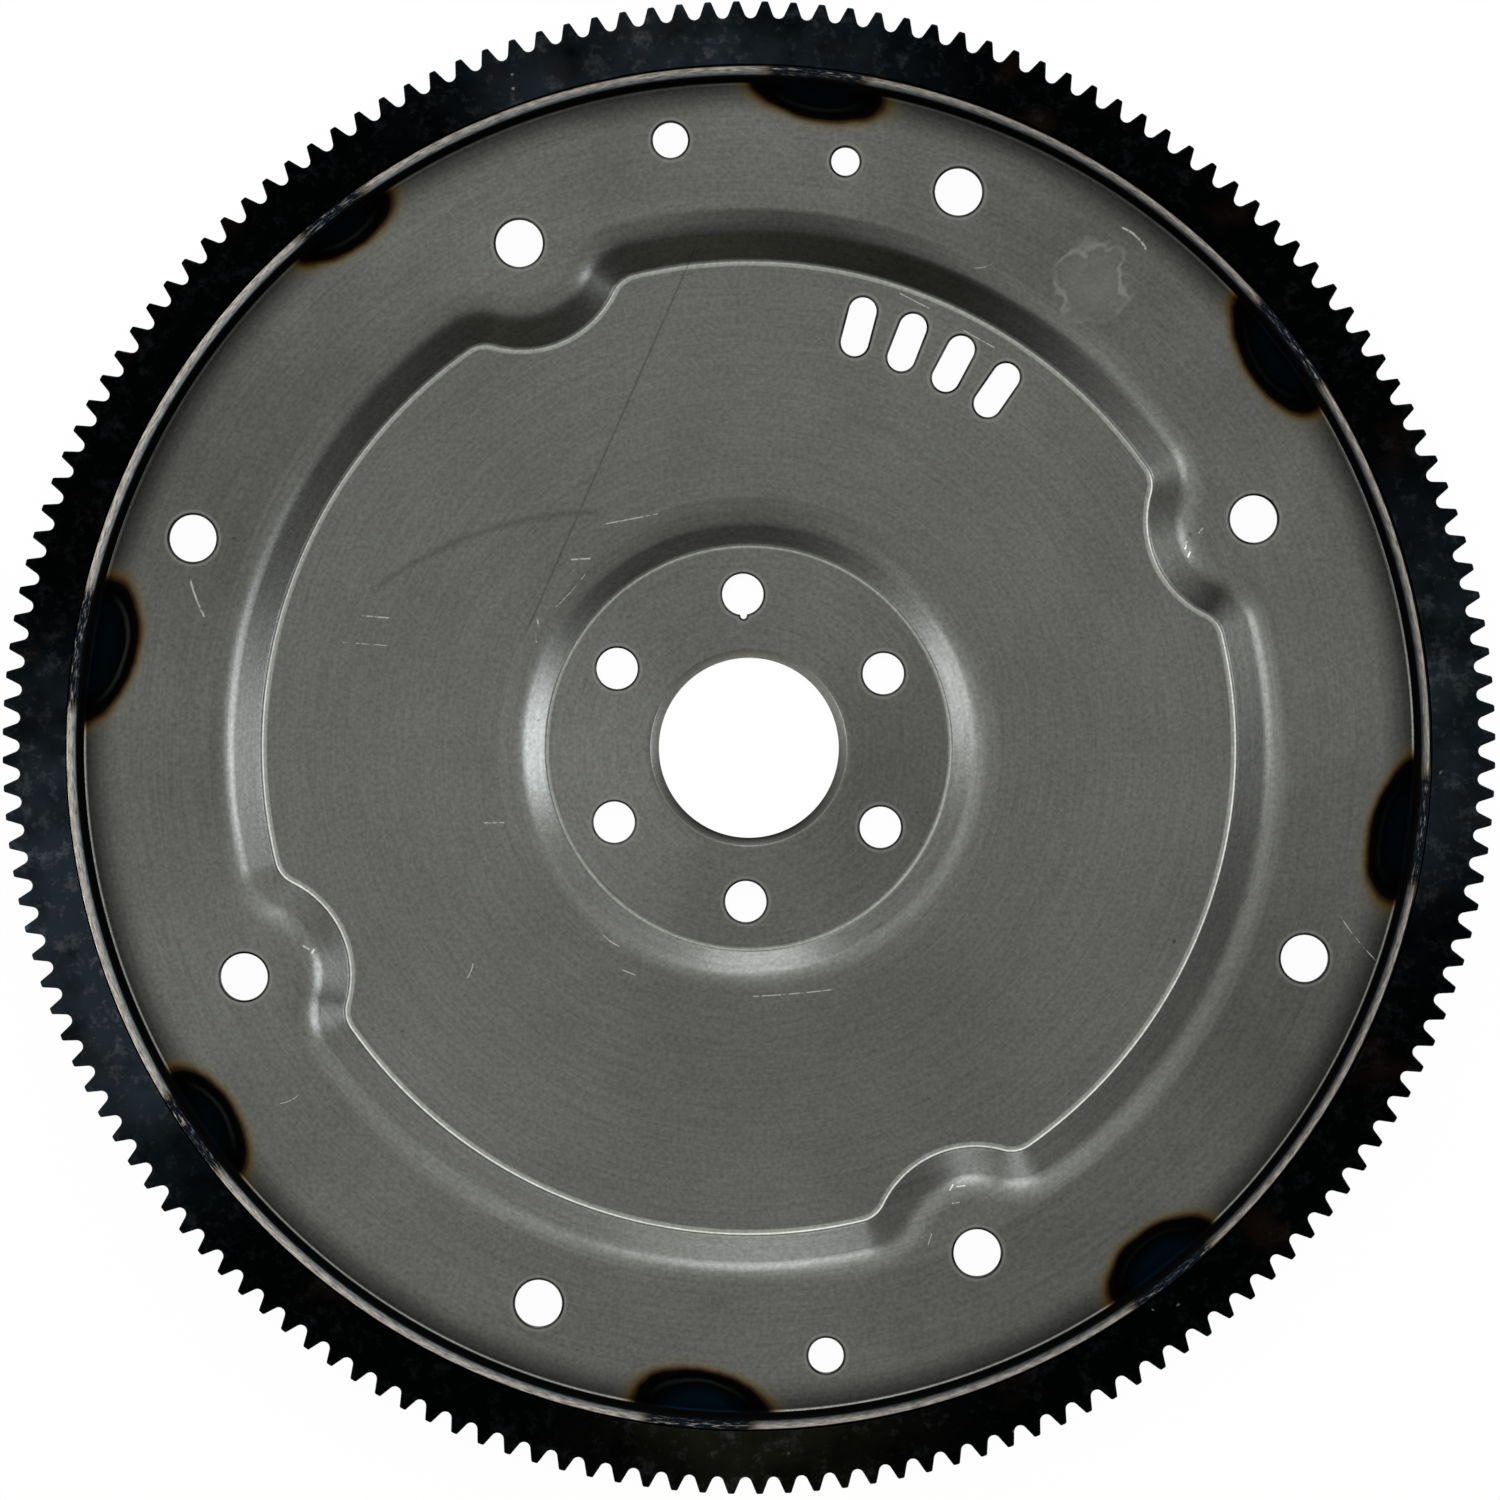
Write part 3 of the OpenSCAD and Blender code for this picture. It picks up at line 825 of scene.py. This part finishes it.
# Middle angle, half length, depth and lean of each heat mark
HEAT_MARKS = (
    (37.9, 16.6, 9.9, 0.24), (85.3, 16.2, 8.2, 0.38), (129.1, 13.6, 7.2, 0.34), (172.6, 17.6, 11.0, 0.26),
    (215.8, 14.7, 8.7, 0.13), (267.0, 16.6, 10.0, 0.21), (309.9, 15.2, 10.1, 0.05), (354.1, 17.4, 9.5, 0.40),
)

# Place from outside the edge of a heat mark to its middle, and colour and strength of the tint there
HEAT_TINTS = (
    (0.0, (0.14, 0.12, 0.06, 0.0)),
    (0.12, (0.13, 0.10, 0.04, 0.18)),
    (0.18, (0.09, 0.055, 0.006, 0.65)),
    (0.22, (0.032, 0.015, 0.002, 0.92)),
    (0.258, (0.003, 0.002, 0.001, 1.0)),
    (0.31, (0.0008, 0.0009, 0.001, 1.0)),
    (1.0, (0.0008, 0.001, 0.0015, 1.0)),
)

# Colours of the weld metal from the ripples to the crests
WELD_TINTS = (
    (0.3, (0.05, 0.045, 0.042, 1)),
    (0.5, (0.13, 0.115, 0.10, 1)),
    (0.7, (0.07, 0.085, 0.11, 1)),
)

# Inner and outer radius of each zone, and middle angle, half width and change of tone of its sectors; the
# zones over the hub's slope, the rim's slope and the rim's head hold painted shade and light, darkest at the
# top
TONE_ZONES = (
    (131.0, 170.0, ((152, 36, -0.30), (333, 38, -0.26), (58, 30, -0.18), (298, 24, -0.18), (18, 22, 0.12),
                    (190, 14, -0.16))),
    (126.2, 131.5, ((85, 30, -0.45), (335, 30, -0.22), (270, 22, -0.20), (183, 14, -0.15))),
    (118.8, 127.0, ((66, 34, -0.60), (339, 42, -0.18), (181, 30, 0.22), (163, 17, -0.34))),
    (62.0, 117.4, ((303, 36, -0.13),)),
    (50.2, 62.0, ((180, 50, 0.17), (0, 50, 0.17), (90, 50, -0.22))),
    (24.5, 49.4, ((346, 80, -0.24), (198, 75, 0.34))),
)

# Place in plan, direction, length, width and bow of each light scratch and painted glint; the short dashes on
# the rim's lobes are painted glints
SCRATCHES_AND_GLINTS = (
    (-135.0, 33.8, -68, 10.0, 0.34, 0.3), (-92.0, 30.4, -4, 6.8, 0.26, 0.0),
    (-30.0, 55.5, 12, 14.0, 0.2, 0.0), (12.0, -60.0, 6, 20.0, 0.2, 0.2),
    (-62.0, -19.5, 2, 5.2, 0.22, 0.0), (-33.0, -48.0, -35, 5.5, 0.22, 0.3),
    (-28.5, -55.5, -20, 4.0, 0.22, 0.0), (-67.0, -56.0, 70, 4.0, 0.2, 0.2),
    (148.8, -43.6, -50, 14.0, 0.18, 0.4), (55.0, 118.0, 15, 5.0, 0.14, 0.4),
    (-110.0, -88.0, 25, 5.0, 0.14, 0.4), (91.6, 126.3, -40, 9.0, 0.4, -1.0),
    (-42.0, 45.5, 4, 5.0, 0.28, 0.0), (38.5, 110.2, -26, 8.5, 0.2, 0.0),
    (54.4, 101.2, -28, 9.0, 0.2, 0.0), (105.5, 51.5, 80, 2.2, 0.3, 0.1),
    (106.3, 49.2, 70, 1.6, 0.3, 0.0), (108.9, 55.0, 50, 1.8, 0.25, 0.0),
    (51.5, -106.0, 60, 1.8, 0.25, 0.0), (53.8, -105.6, 10, 2.2, 0.22, 0.0),
    (52.6, -109.6, 8, 2.0, 0.22, 0.0), (46.5, -118.5, 72, 3.0, 0.16, 0.0),
    (-106.8, -50.6, -30, 1.8, 0.35, 0.0), (-105.2, -51.6, 60, 1.4, 0.35, 0.0),
    (-52.2, 29.9, 100, 2.2, 0.3, 0.0), (-52.6, 26.0, 97, 2.4, 0.28, 0.0),
    (-44.3, 37.4, 49, 11.5, 0.16, 0.3), (-94.5, 23.7, -3, 11.0, 0.14, 0.0),
)

# Place in plan, direction, length, width and bow of the dull drag mark and of the soft smear
DRAG_MARKS = ((-35.4, 74.2, 67.3, 108.0, 0.42, 0.0),)
SMEARS = ((-66.7, 51.5, 20.1, 60.0, 1.3, -4.9),)

# Middle angle, half width and strength of the sectors of the ring gear with a painted sheen, where the lamps
# would be reflected
PAINTED_SHEEN_SECTORS = ((4.0, 26.0, 0.65), (97.0, 28.0, 0.85), (197.0, 30.0, 1.5), (272.0, 20.0, 0.4))

# Middle and half size of the rubbed patch on the rim
RUBBED_PATCH, RUBBED_SIZE = (82.1, 114.4), (10.0, 9.0)

# Colours of the sheet, of the painted warm reflection on its slopes that face towards -Y, and of the painted
# shade on the flange's wall
SHEET_GREY = (0.147, 0.149, 0.136)
WARM_SLOPE_REFLECTION = (1.2, 1.1, 0.55, 1)
WALL_SHADE = (0.002, 0.002, 0.002, 1)

# Colours of the painted blue-grey reflection on the inner part of the flange's end face, of its outer part,
# and of the painted shade in the groove at its lip
STRIP_BLUE_REFLECTION = (0.15, 0.18, 0.195)
STRIP_CREAM = (0.38, 0.345, 0.30)
STRIP_LIP_SHADE = (0.003, 0.003, 0.003, 1)

# Colours of the marks on the sheet, with the painted glints among the scratches, the painted highlight and
# wear round the holes, and the painted shade on the hole edges
RUBBED_BODY = (0.20, 0.20, 0.185, 1)
RUBBED_OUTLINE = (0.28, 0.28, 0.26, 1)
DRAG_DULL = (0.05, 0.05, 0.045, 1)
SCRATCH_AND_GLINT_BRIGHT = (0.62, 0.62, 0.58, 1)
SPECK_DARK = (0.02, 0.02, 0.018, 1)
RING_HIGHLIGHT_AND_WEAR = (0.32, 0.32, 0.30, 1)
HOLE_EDGE_SHADE = (0.008, 0.008, 0.008, 1)

# Colours deep inside a heat mark, of the pale streak in it and of the end face over it
HEAT_TEAL = (0.0005, 0.005, 0.008, 1)
HEAT_STREAK = (0.032, 0.036, 0.033, 1)
HEAT_STRIP = (0.010, 0.015, 0.022, 1)

# Colours of the ring gear; the blue and the brown sheen are painted reflections
OXIDE_BLACK = (0.0005, 0.0007, 0.0008, 1)
PAINTED_BLUE_SHEEN = (0.016, 0.023, 0.028, 1)
PAINTED_BROWN_SHEEN = (0.020, 0.019, 0.012, 1)
RUST_BROWN = (0.016, 0.009, 0.006, 1)
SCUFF_GREY = (0.07, 0.075, 0.08, 1)
WORN_TOOTH = (0.03, 0.035, 0.042, 1)
NICK_BRIGHT = (0.25, 0.24, 0.22, 1)

# Colours of the toe and of the spatter of a weld bead
WELD_TOE = (0.035, 0.03, 0.028, 1)
WELD_SPATTER = (0.02, 0.018, 0.017, 1)


def scratch_lines(at, marks):
    """Mask of a list of thin marks, such as scratches, painted glints, drag marks and smears."""
    lines = 0.0
    for x, y, angle, length, width, bow in marks:
        along = polar(2 / (length * MM), angle)
        across = polar(1 / (width * MM), angle + 90)
        middle = Vector((x, y)) * MM
        mark = use(SCRATCH, Vector=at, Along=(*along, 0), Along_Shift=along.dot(middle),
                   Across=(*across, 0), Across_Shift=across.dot(middle), Bow=-bow / width)["Mask"]
        lines = calc("MAXIMUM", lines, mark)
    return calc("MINIMUM", lines, 1.0)


def zone_tone(where, inner, outer, sectors):
    """Tone of the darker and lighter sectors between two radii."""
    change = 0.0
    for middle, half, strength in sectors:
        change = calc("ADD", change, sector(where, middle, half, strength))
    from_inner = calc("SUBTRACT", where["Radius"], inner, clamp=True)
    from_outer = calc("SUBTRACT", outer, where["Radius"], clamp=True)
    return calc("MULTIPLY_ADD", times(from_inner, from_outer), change, 1.0)


def rubbed_patch(at, ragged, cloud):
    """Light rim and faint body of a rubbed patch with an uneven outline."""
    middle = (RUBBED_PATCH[0] * MM, RUBBED_PATCH[1] * MM, 0)
    part = parts(vector_calc("SUBTRACT", at, middle))
    reach = ellipse(part["X"], part["Y"], RUBBED_SIZE[0] * MM, RUBBED_SIZE[1] * MM)
    reach = calc("ADD", reach, calc("MULTIPLY_ADD", cloud, 1.1, -0.55))
    reach = calc("MULTIPLY_ADD", ragged, 0.7, reach)
    outline = span(calc("ABSOLUTE", calc("SUBTRACT", reach, 0.9)), 0.02, 0.11, 1.0, 0.0)
    outline = times(outline, span(ragged, -0.12, 0.12, 0.15, 1.0))
    return outline, span(reach, 0.95, 0.6)


def weld_heat(at, where, ragged):
    """Colour and strength of the heat marks over the weld beads."""
    heat = -99.0
    for middle, half, depth, skew in HEAT_MARKS:
        mark = use(HEAT, Radius=where["Radius"], Angle=where["Angle"], Middle=middle, Half_Length=half,
                   Depth=depth, Skew=skew)["Inside"]
        heat = calc("MAXIMUM", heat, mark)
    heat = calc("MULTIPLY_ADD", ragged, 1.4, heat)
    heat = calc("SUBTRACT", heat, span(where["Radius"], FLANGE_IN, FLANGE_IN + 0.6, 0.0, 3.0))
    tint, amount = colours(span(heat, -4.0, 12.0), HEAT_TINTS)
    place = parts(at)
    teal = times(span(heat, 3.0, 6.0), span(place["Y"], -0.08, -0.14, 0.4, 1.0))
    tint = blend(teal, tint, HEAT_TEAL)
    streak = span(calc("ABSOLUTE", calc("SUBTRACT", heat, 2.3)), 0.1, 0.65, 0.6, 0.0)
    streak = times(streak, span(where["Radius"], 159.5, 153.0))
    streak = times(streak, span(place["X"], 0.08, -0.1, 0.15, 0.8))
    tint = blend(streak, tint, HEAT_STREAK)
    return tint, amount


def end_strip(at, where):
    """Colour of the flange's end face, a painted blue-grey reflection within and cream without, with painted
    light towards -X and painted shade towards +X, darker towards +Y, black painted shade in the groove at its
    outer edge, and its streaks.
    """
    place = parts(at)
    streaks = noise(combined(X=where["Angle"], Y=times(where["Radius"], 2.2)), 1.0, 3.0, 0.6)
    inner = scaled(STRIP_BLUE_REFLECTION, span(place["X"], -0.1, 0.1, 1.1, 0.36))
    outer = scaled(STRIP_CREAM, span(place["X"], -0.1, 0.15, 1.25, 0.95))
    strip = blend(span(where["Radius"], FLANGE_IN + 1.0, FLANGE_R - 0.9), inner, outer)
    strip = scaled(strip, span(streaks, 0.3, 0.7, 0.35, 1.5))
    strip = scaled(strip, span(place["Y"], 0.1, 0.15, 1.0, 0.68))
    # Painted shade in the groove at the end face's outer edge, wider towards +X
    lip = calc("MULTIPLY_ADD", place["X"], 1.2, where["Radius"])
    lip = span(lip, FLANGE_R - 0.4, FLANGE_R - 0.2)
    return blend(lip, strip, STRIP_LIP_SHADE), streaks


def sheet_tone(at, where, sheet):
    """Tone of the sheet with its grain, clouds and tone zones, painted shade with some dirt towards the
    flange, and painted shade and light on the chamfer of the pilot bore.
    """
    tone = span(sheet["Grain"], 0.25, 0.75, 0.7, 1.3)
    cloudy = span(where["Radius"], 118.0, 132.0, 0.1, 0.18)
    cloud = calc("SUBTRACT", sheet["Cloud"], 0.5)
    tone = times(tone, calc("MULTIPLY_ADD", cloud, cloudy, 1.0))
    broad = noise(at, 7.0, 2.0, 0.5, 0.0, 0.4)
    tone = times(tone, span(broad, 0.3, 0.7, 0.9, 1.1))
    # Painted shade with some dirt: the rim darkens towards the fold at the flange's foot
    tone = times(tone, span(where["Radius"], 153.0, FOLD_X, 1.0, 0.36, True))
    for inner, outer, sectors in TONE_ZONES:
        tone = times(tone, zone_tone(where, inner, outer, sectors))
    # Painted shade at the bottom and painted light at the top of the pilot bore's chamfer
    mouth_r = PILOT_R + PILOT_CHAMFER
    mouth = span(where["Radius"], mouth_r + 0.1, mouth_r - 0.2)
    shade = span(parts(at)["Y"], -0.02, 0.02, -0.93, 0.8)
    return times(tone, calc("MULTIPLY_ADD", mouth, shade, 1.0))


def sheet_marks(tree, at, colour, ragged, cloud, front):
    """Colour of the sheet with its rubbed patch, drag mark, smear, scratches and painted glints, specks, the
    painted highlight and wear round the holes, and the painted shade on the hole edges.
    """
    outline, body = rubbed_patch(at, ragged, cloud)
    body = times(body, front, span(ragged, -0.15, 0.15, 0.2, 0.5))
    colour = blend(body, colour, RUBBED_BODY)
    outline = times(outline, times(front, 0.65))
    colour = blend(outline, colour, RUBBED_OUTLINE)
    rub = noise(at, 900.0, 1.0)
    drags = times(scratch_lines(at, DRAG_MARKS), span(rub, 0.1, 0.4, 0.0, 0.6))
    drags = calc("MAXIMUM", drags, times(scratch_lines(at, SMEARS), 0.4))
    colour = blend(times(drags, front), colour, DRAG_DULL)
    # Light scratches, and painted glints on the rim's lobes
    lines = times(scratch_lines(at, SCRATCHES_AND_GLINTS), span(rub, 0.36, 0.52, 0.05, 0.85))
    colour = blend(times(lines, front), colour, SCRATCH_AND_GLINT_BRIGHT)
    dots = use(SPECK, Vector=at, Scale=95.0, Size=0.05, Share=0.22)["Mask"]
    colour = blend(times(dots, 0.75), colour, SPECK_DARK)
    # Painted highlight with some wear on the ring round each hole and on the edge of the pilot bore's
    # chamfer; painted shade on the holes' rolled edges and walls
    colour = blend(times(wear_of(tree), 0.35), colour, RING_HIGHLIGHT_AND_WEAR)
    edge = times(wear_of(tree, "edge"), span(ragged, -0.2, 0.1, 0.6, 1.0))
    return blend(edge, colour, HOLE_EDGE_SHADE)


def plate_steel():
    """Bare sheet steel with its marks, the painted shade that blacks out the flange's wall, the end face of
    the flange, and the heat marks.
    """
    material, tree, at, shader = new_material("plate_steel")
    where = use(POLAR, Vector=at)
    sheet = use(GRAIN, Vector=at, Cloud_Scale=32.0, Grain_Scale=950.0, Line_Scale=1500.0)
    ragged = calc("SUBTRACT", noise(at, 130.0, 3.0, 0.55), 0.5)
    normal = parts(put(tree, "ShaderNodeNewGeometry").outputs["Normal"])
    facing = times(normal["Y"], -1.0)
    front = span(normal["Z"], 0.0, 0.3)

    # Painted highlight along the creases of hub and rim and along the fold, and painted shade where the
    # crease value is below 0; both fade on faces turned towards -Y
    line = times(wear_of(tree, "crease"), span(facing, 0.03, 0.11, 1.0, 0.1))
    tone = times(sheet_tone(at, where, sheet), calc("MULTIPLY_ADD", line, 1.3, 1.0))
    colour = scaled(SHEET_GREY, tone)
    # Painted warm reflection on the slopes that face towards -Y
    colour = blend(span(facing, 0.6, 0.7, 0.0, 0.2), colour, WARM_SLOPE_REFLECTION, "MULTIPLY")
    colour = sheet_marks(tree, at, colour, ragged, sheet["Cloud"], front)

    # Painted shade: the flange's wall and the outside of the flange are black and not metallic, all but the
    # end face
    wall = span(where["Radius"], FLANGE_IN - 0.4, FLANGE_IN - 0.25)
    end_face = times(span(where["Height"], GEAR_TOP - 1.2, GEAR_TOP - 0.6),
                     span(where["Radius"], FLANGE_IN + 0.55, FLANGE_IN + 1.0))
    bare = calc("MAXIMUM", calc("SUBTRACT", 1.0, wall), end_face)
    strip, streaks = end_strip(at, where)
    colour = blend(end_face, colour, strip)
    tint, amount = weld_heat(at, where, ragged)
    tint = blend(times(end_face, 0.5), tint, HEAT_STRIP)
    bared = times(end_face, span(streaks, 0.52, 0.7, 0.0, 0.65))
    colour = blend(times(amount, calc("SUBTRACT", 1.0, bared)), colour, tint)
    colour = blend(bare, WALL_SHADE, colour)

    rough = calc("MULTIPLY_ADD", amount, 0.08, span(sheet["Cloud"], 0.0, 1.0, 0.30, 0.36))
    feed(shader.inputs["Specular IOR Level"], 0.0)
    coat(shader, colour, bare, rough, noise(at, 1300.0, 0.0), 0.06)
    return material


def gear_steel():
    """Black oxide with a painted blue sheen of reflected light in some sectors, brown towards -Y, scuffs,
    bright nicks and a little rust.
    """
    material, tree, at, shader = new_material("gear_steel")
    where = use(POLAR, Vector=at)
    cloud = noise(at, 60.0, 3.0, 0.6)
    # Painted sheen: lighter blue sectors where the lamps would be reflected, brown towards -Y and fading
    # outward; the scuffs show more there
    sheen = 0.0
    for middle, half, strength in PAINTED_SHEEN_SECTORS:
        sheen = calc("MAXIMUM", sheen, sector(where, middle, half, strength))
    sheen = times(sheen, span(cloud, 0.3, 0.7, 0.25, 1.5))
    sheen = times(sheen, span(where["Radius"], FLANGE_R, ROOT_R, 1.0, 0.6))
    below = span(parts(at)["Y"], -0.12, -0.16)
    lit = blend(below, PAINTED_BLUE_SHEEN, PAINTED_BROWN_SHEEN)
    colour = blend(sheen, OXIDE_BLACK, lit)
    rust = span(noise(at, 34.0, 3.0, 0.65, 0.0, 0.9), 0.56, 0.72)
    colour = blend(times(rust, 0.35), colour, RUST_BROWN)
    scuff = span(noise(at, 240.0, 4.0, 0.7, 0.0, 1.7), 0.53, 0.72)
    scuff = times(scuff, calc("MULTIPLY_ADD", sheen, 0.7, 0.07))
    colour = blend(scuff, colour, SCUFF_GREY)
    spread = span(noise(at, 300.0, 1.0, 0.6, 0.0, 2.3), 0.4, 0.65)
    colour = blend(times(wear_of(tree), spread, 0.25), colour, WORN_TOOTH)
    nicks = use(SPECK, Vector=at, Scale=150.0, Size=0.06, Share=0.25)["Mask"]
    colour = blend(times(nicks, 0.7), colour, NICK_BRIGHT)
    rough = span(cloud, 0.3, 0.7, 0.38, 0.5)
    coat(shader, colour, 1.0, rough, noise(at, 700.0, 1.0), 0.1)
    return material


def weld_metal():
    """Weld bead with dark scale in its ripples and blued metal on its crests."""
    material, tree, at, shader = new_material("weld_metal")
    cloud = noise(at, 160.0, 4.0, 0.6, 0.5)
    colour, _ = colours(cloud, WELD_TINTS)
    toe = span(wear_of(tree, "crown"), 0.0, 0.8, 0.7, 0.0)
    colour = blend(toe, colour, WELD_TOE)
    spatter = use(SPECK, Vector=at, Scale=420.0, Size=0.2, Share=0.2)["Mask"]
    colour = blend(times(spatter, 0.5), colour, WELD_SPATTER)
    rough = span(cloud, 0.3, 0.7, 0.34, 0.5)
    coat(shader, colour, 0.85, rough, noise(at, 1400.0, 3.0, 0.6), 0.2)
    return material


# Half width of the floor and its drop under the plate, in metres, and how white it is to the camera
FLOOR_HALF, FLOOR_DROP, FLOOR_WHITE = 3.0, 0.0003, 0.97


def mixed(factor, first, second):
    """Shader mixed from two."""
    return put(factor.id_data, "ShaderNodeMixShader", {0: factor, 1: first, 2: second}).outputs[0]


def see_white(tree, shader, amount):
    """Shader that camera, mirror and clear rays see as partly white."""
    path = put(tree, "ShaderNodeLightPath").outputs
    through = calc("MAXIMUM", path["Is Glossy Ray"], path["Is Transmission Ray"])
    seen = calc("MAXIMUM", path["Is Camera Ray"], through)
    white = put(tree, "ShaderNodeEmission", {"Color": (1, 1, 1, 1), "Strength": 1.0})
    return mixed(times(seen, amount), shader, white.outputs[0])


def make_floor():
    """Pale plain floor under the plate."""
    mesh = bpy.data.meshes.new("floor")
    corners = [(x * FLOOR_HALF, y * FLOOR_HALF, -FLOOR_DROP) for x, y in ((-1, -1), (1, -1), (1, 1), (-1, 1))]
    mesh.from_pydata(corners, [], [(0, 1, 2, 3)])
    floor = add_object("floor", mesh)
    material, tree, _, shader = new_material("floor_white")
    feed(shader.inputs["Base Color"], (0.86, 0.86, 0.86, 1))
    feed(shader.inputs["Roughness"], 0.9)
    feed(shader.inputs["Specular IOR Level"], 0.1)
    out = next(n for n in tree.nodes if n.type == "OUTPUT_MATERIAL")
    feed(out.inputs["Surface"], see_white(tree, shader.outputs[0], FLOOR_WHITE))
    mesh.materials.append(material)


# Image axes of the photo in the row frame
IMAGE_TURN = 1.1
IMAGE_RIGHT = Vector((*polar(1, IMAGE_TURN), 0))
IMAGE_UP = Vector((*polar(1, 90 + IMAGE_TURN), 0))
UPRIGHT = Vector((0, 0, 1))

# Height of the eye over the ring gear's face and the width of what it sees there, in millimetres
EYE_HEIGHT, VIEW_WIDTH = 1150, 362.55

# Place of the eye and of what it aims at to the right of the axis and up from it in the photo, in millimetres
EYE_PLACE, AIM_PLACE = (10, 8), (0.48, -0.37)

# Bearings of the dark and the dull side of the surround and of the side to which the light overhead falls off
DARK_SIDE, DULL_SIDE, FALL_SIDE = 287, 148, 318

# Bearing, angle above the floor, width, height and power of each soft box, in metres and watts
LIGHT_DISTANCE, LIGHT_COLOUR = 1.2, (0.95, 0.98, 1.07)
LIGHTS = {
    "right": (-3, 27, 0.62, 0.5, 4.6),
    "top": (93, 28, 0.5, 0.65, 3.5),
    "left": (196, 29, 0.6, 0.4, 2.75),
}


def make_camera():
    """Camera high over the plate, close to its axis."""
    centre = UPRIGHT * GEAR_TOP * MM
    eye = centre + (IMAGE_RIGHT * EYE_PLACE[0] + IMAGE_UP * EYE_PLACE[1] + UPRIGHT * EYE_HEIGHT) * MM
    aim = centre + (IMAGE_RIGHT * AIM_PLACE[0] + IMAGE_UP * AIM_PLACE[1]) * MM
    forward = (aim - eye).normalized()
    right = forward.cross(IMAGE_UP).normalized()
    up = right.cross(forward)
    data = bpy.data.cameras.new("camera")
    data.sensor_width = 36.0
    data.lens = data.sensor_width * EYE_HEIGHT / VIEW_WIDTH
    data.clip_start, data.clip_end = 0.05, 20.0
    camera = add_object("camera", data)
    turn = Matrix((right, up, -forward)).transposed().to_4x4()
    camera.matrix_world = Matrix.Translation(eye) @ turn
    bpy.context.scene.camera = camera


def direction(azimuth, elevation):
    """Direction by its bearing in the photo, from the right to the top, and its angle above the floor."""
    bearing = polar(math.cos(math.radians(elevation)), azimuth)
    return IMAGE_RIGHT * bearing.x + IMAGE_UP * bearing.y + UPRIGHT * math.sin(math.radians(elevation))


def make_light(name, azimuth, elevation, width, height, power):
    """Soft box low beside the plate, facing it."""
    data = bpy.data.lights.new(name, "AREA")
    data.shape = "RECTANGLE"
    data.size, data.size_y, data.energy = width, height, power
    data.color = LIGHT_COLOUR
    light = add_object(name, data)
    light.location = direction(azimuth, elevation) * LIGHT_DISTANCE
    light.rotation_euler = (-light.location).to_track_quat("-Z", "Y").to_euler()


def make_world():
    """Soft surround, dimmer overhead and on the dark and the dull side, white where the camera sees it."""
    world = bpy.data.worlds.new("studio")
    bpy.context.scene.world = world
    world.use_nodes = True
    tree = world.node_tree
    tree.nodes.clear()
    facing = put(tree, "ShaderNodeTexCoord").outputs["Generated"]

    def towards(bearing):
        return vector_calc("DOT_PRODUCT", facing, direction(bearing, 0))

    height = parts(facing)["Z"]
    low = span(height, 0.62, 0.4, 0.0, 1.0, True)
    dark = towards(DARK_SIDE)
    sky = times(span(height, 0.99, 0.88, 0.74, 1.1), span(dark, 0.0, 0.75, 1.0, 0.65))
    low_dark = times(low, span(dark, 0.45, 0.8, 0.0, 0.75, True))
    sky = times(sky, calc("SUBTRACT", 1.0, low_dark))
    low_dull = times(low, span(towards(DULL_SIDE), 0.6, 0.9, 0.0, 0.5, True))
    sky = times(sky, calc("SUBTRACT", 1.0, low_dull))
    sky = times(sky, span(towards(FALL_SIDE), -0.2, 0.2, 1.12, 0.82))
    dim = put(tree, "ShaderNodeBackground", {"Color": (0.99, 1.0, 1.0, 1), "Strength": sky})
    white = put(tree, "ShaderNodeBackground", {"Color": (1, 1, 1, 1), "Strength": 1.0})
    camera_ray = put(tree, "ShaderNodeLightPath").outputs["Is Camera Ray"]
    both = mixed(camera_ray, dim.outputs[0], white.outputs[0])
    put(tree, "ShaderNodeOutputWorld", {"Surface": both})


def dress(piece, node_name):
    """Hangs a piece under the root body and hides the CAD node it stands for."""
    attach(piece, "root")
    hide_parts(node_name)


plate = make_plate()
plate.data.materials.append(plate_steel())
dress(plate, "plate")
dress(make_ring(gear_steel()), "ring_gear")
weld, ripples = weld_metal(), ripple_group()
for number in range(1, 2 * BEADS + 1):
    dress(make_bead(number, ripples, weld), f"weld_bead_{number}")

make_floor()
make_camera()
make_world()
for name, values in LIGHTS.items():
    make_light(name, *values)
bpy.context.scene.view_settings.view_transform = "Standard"
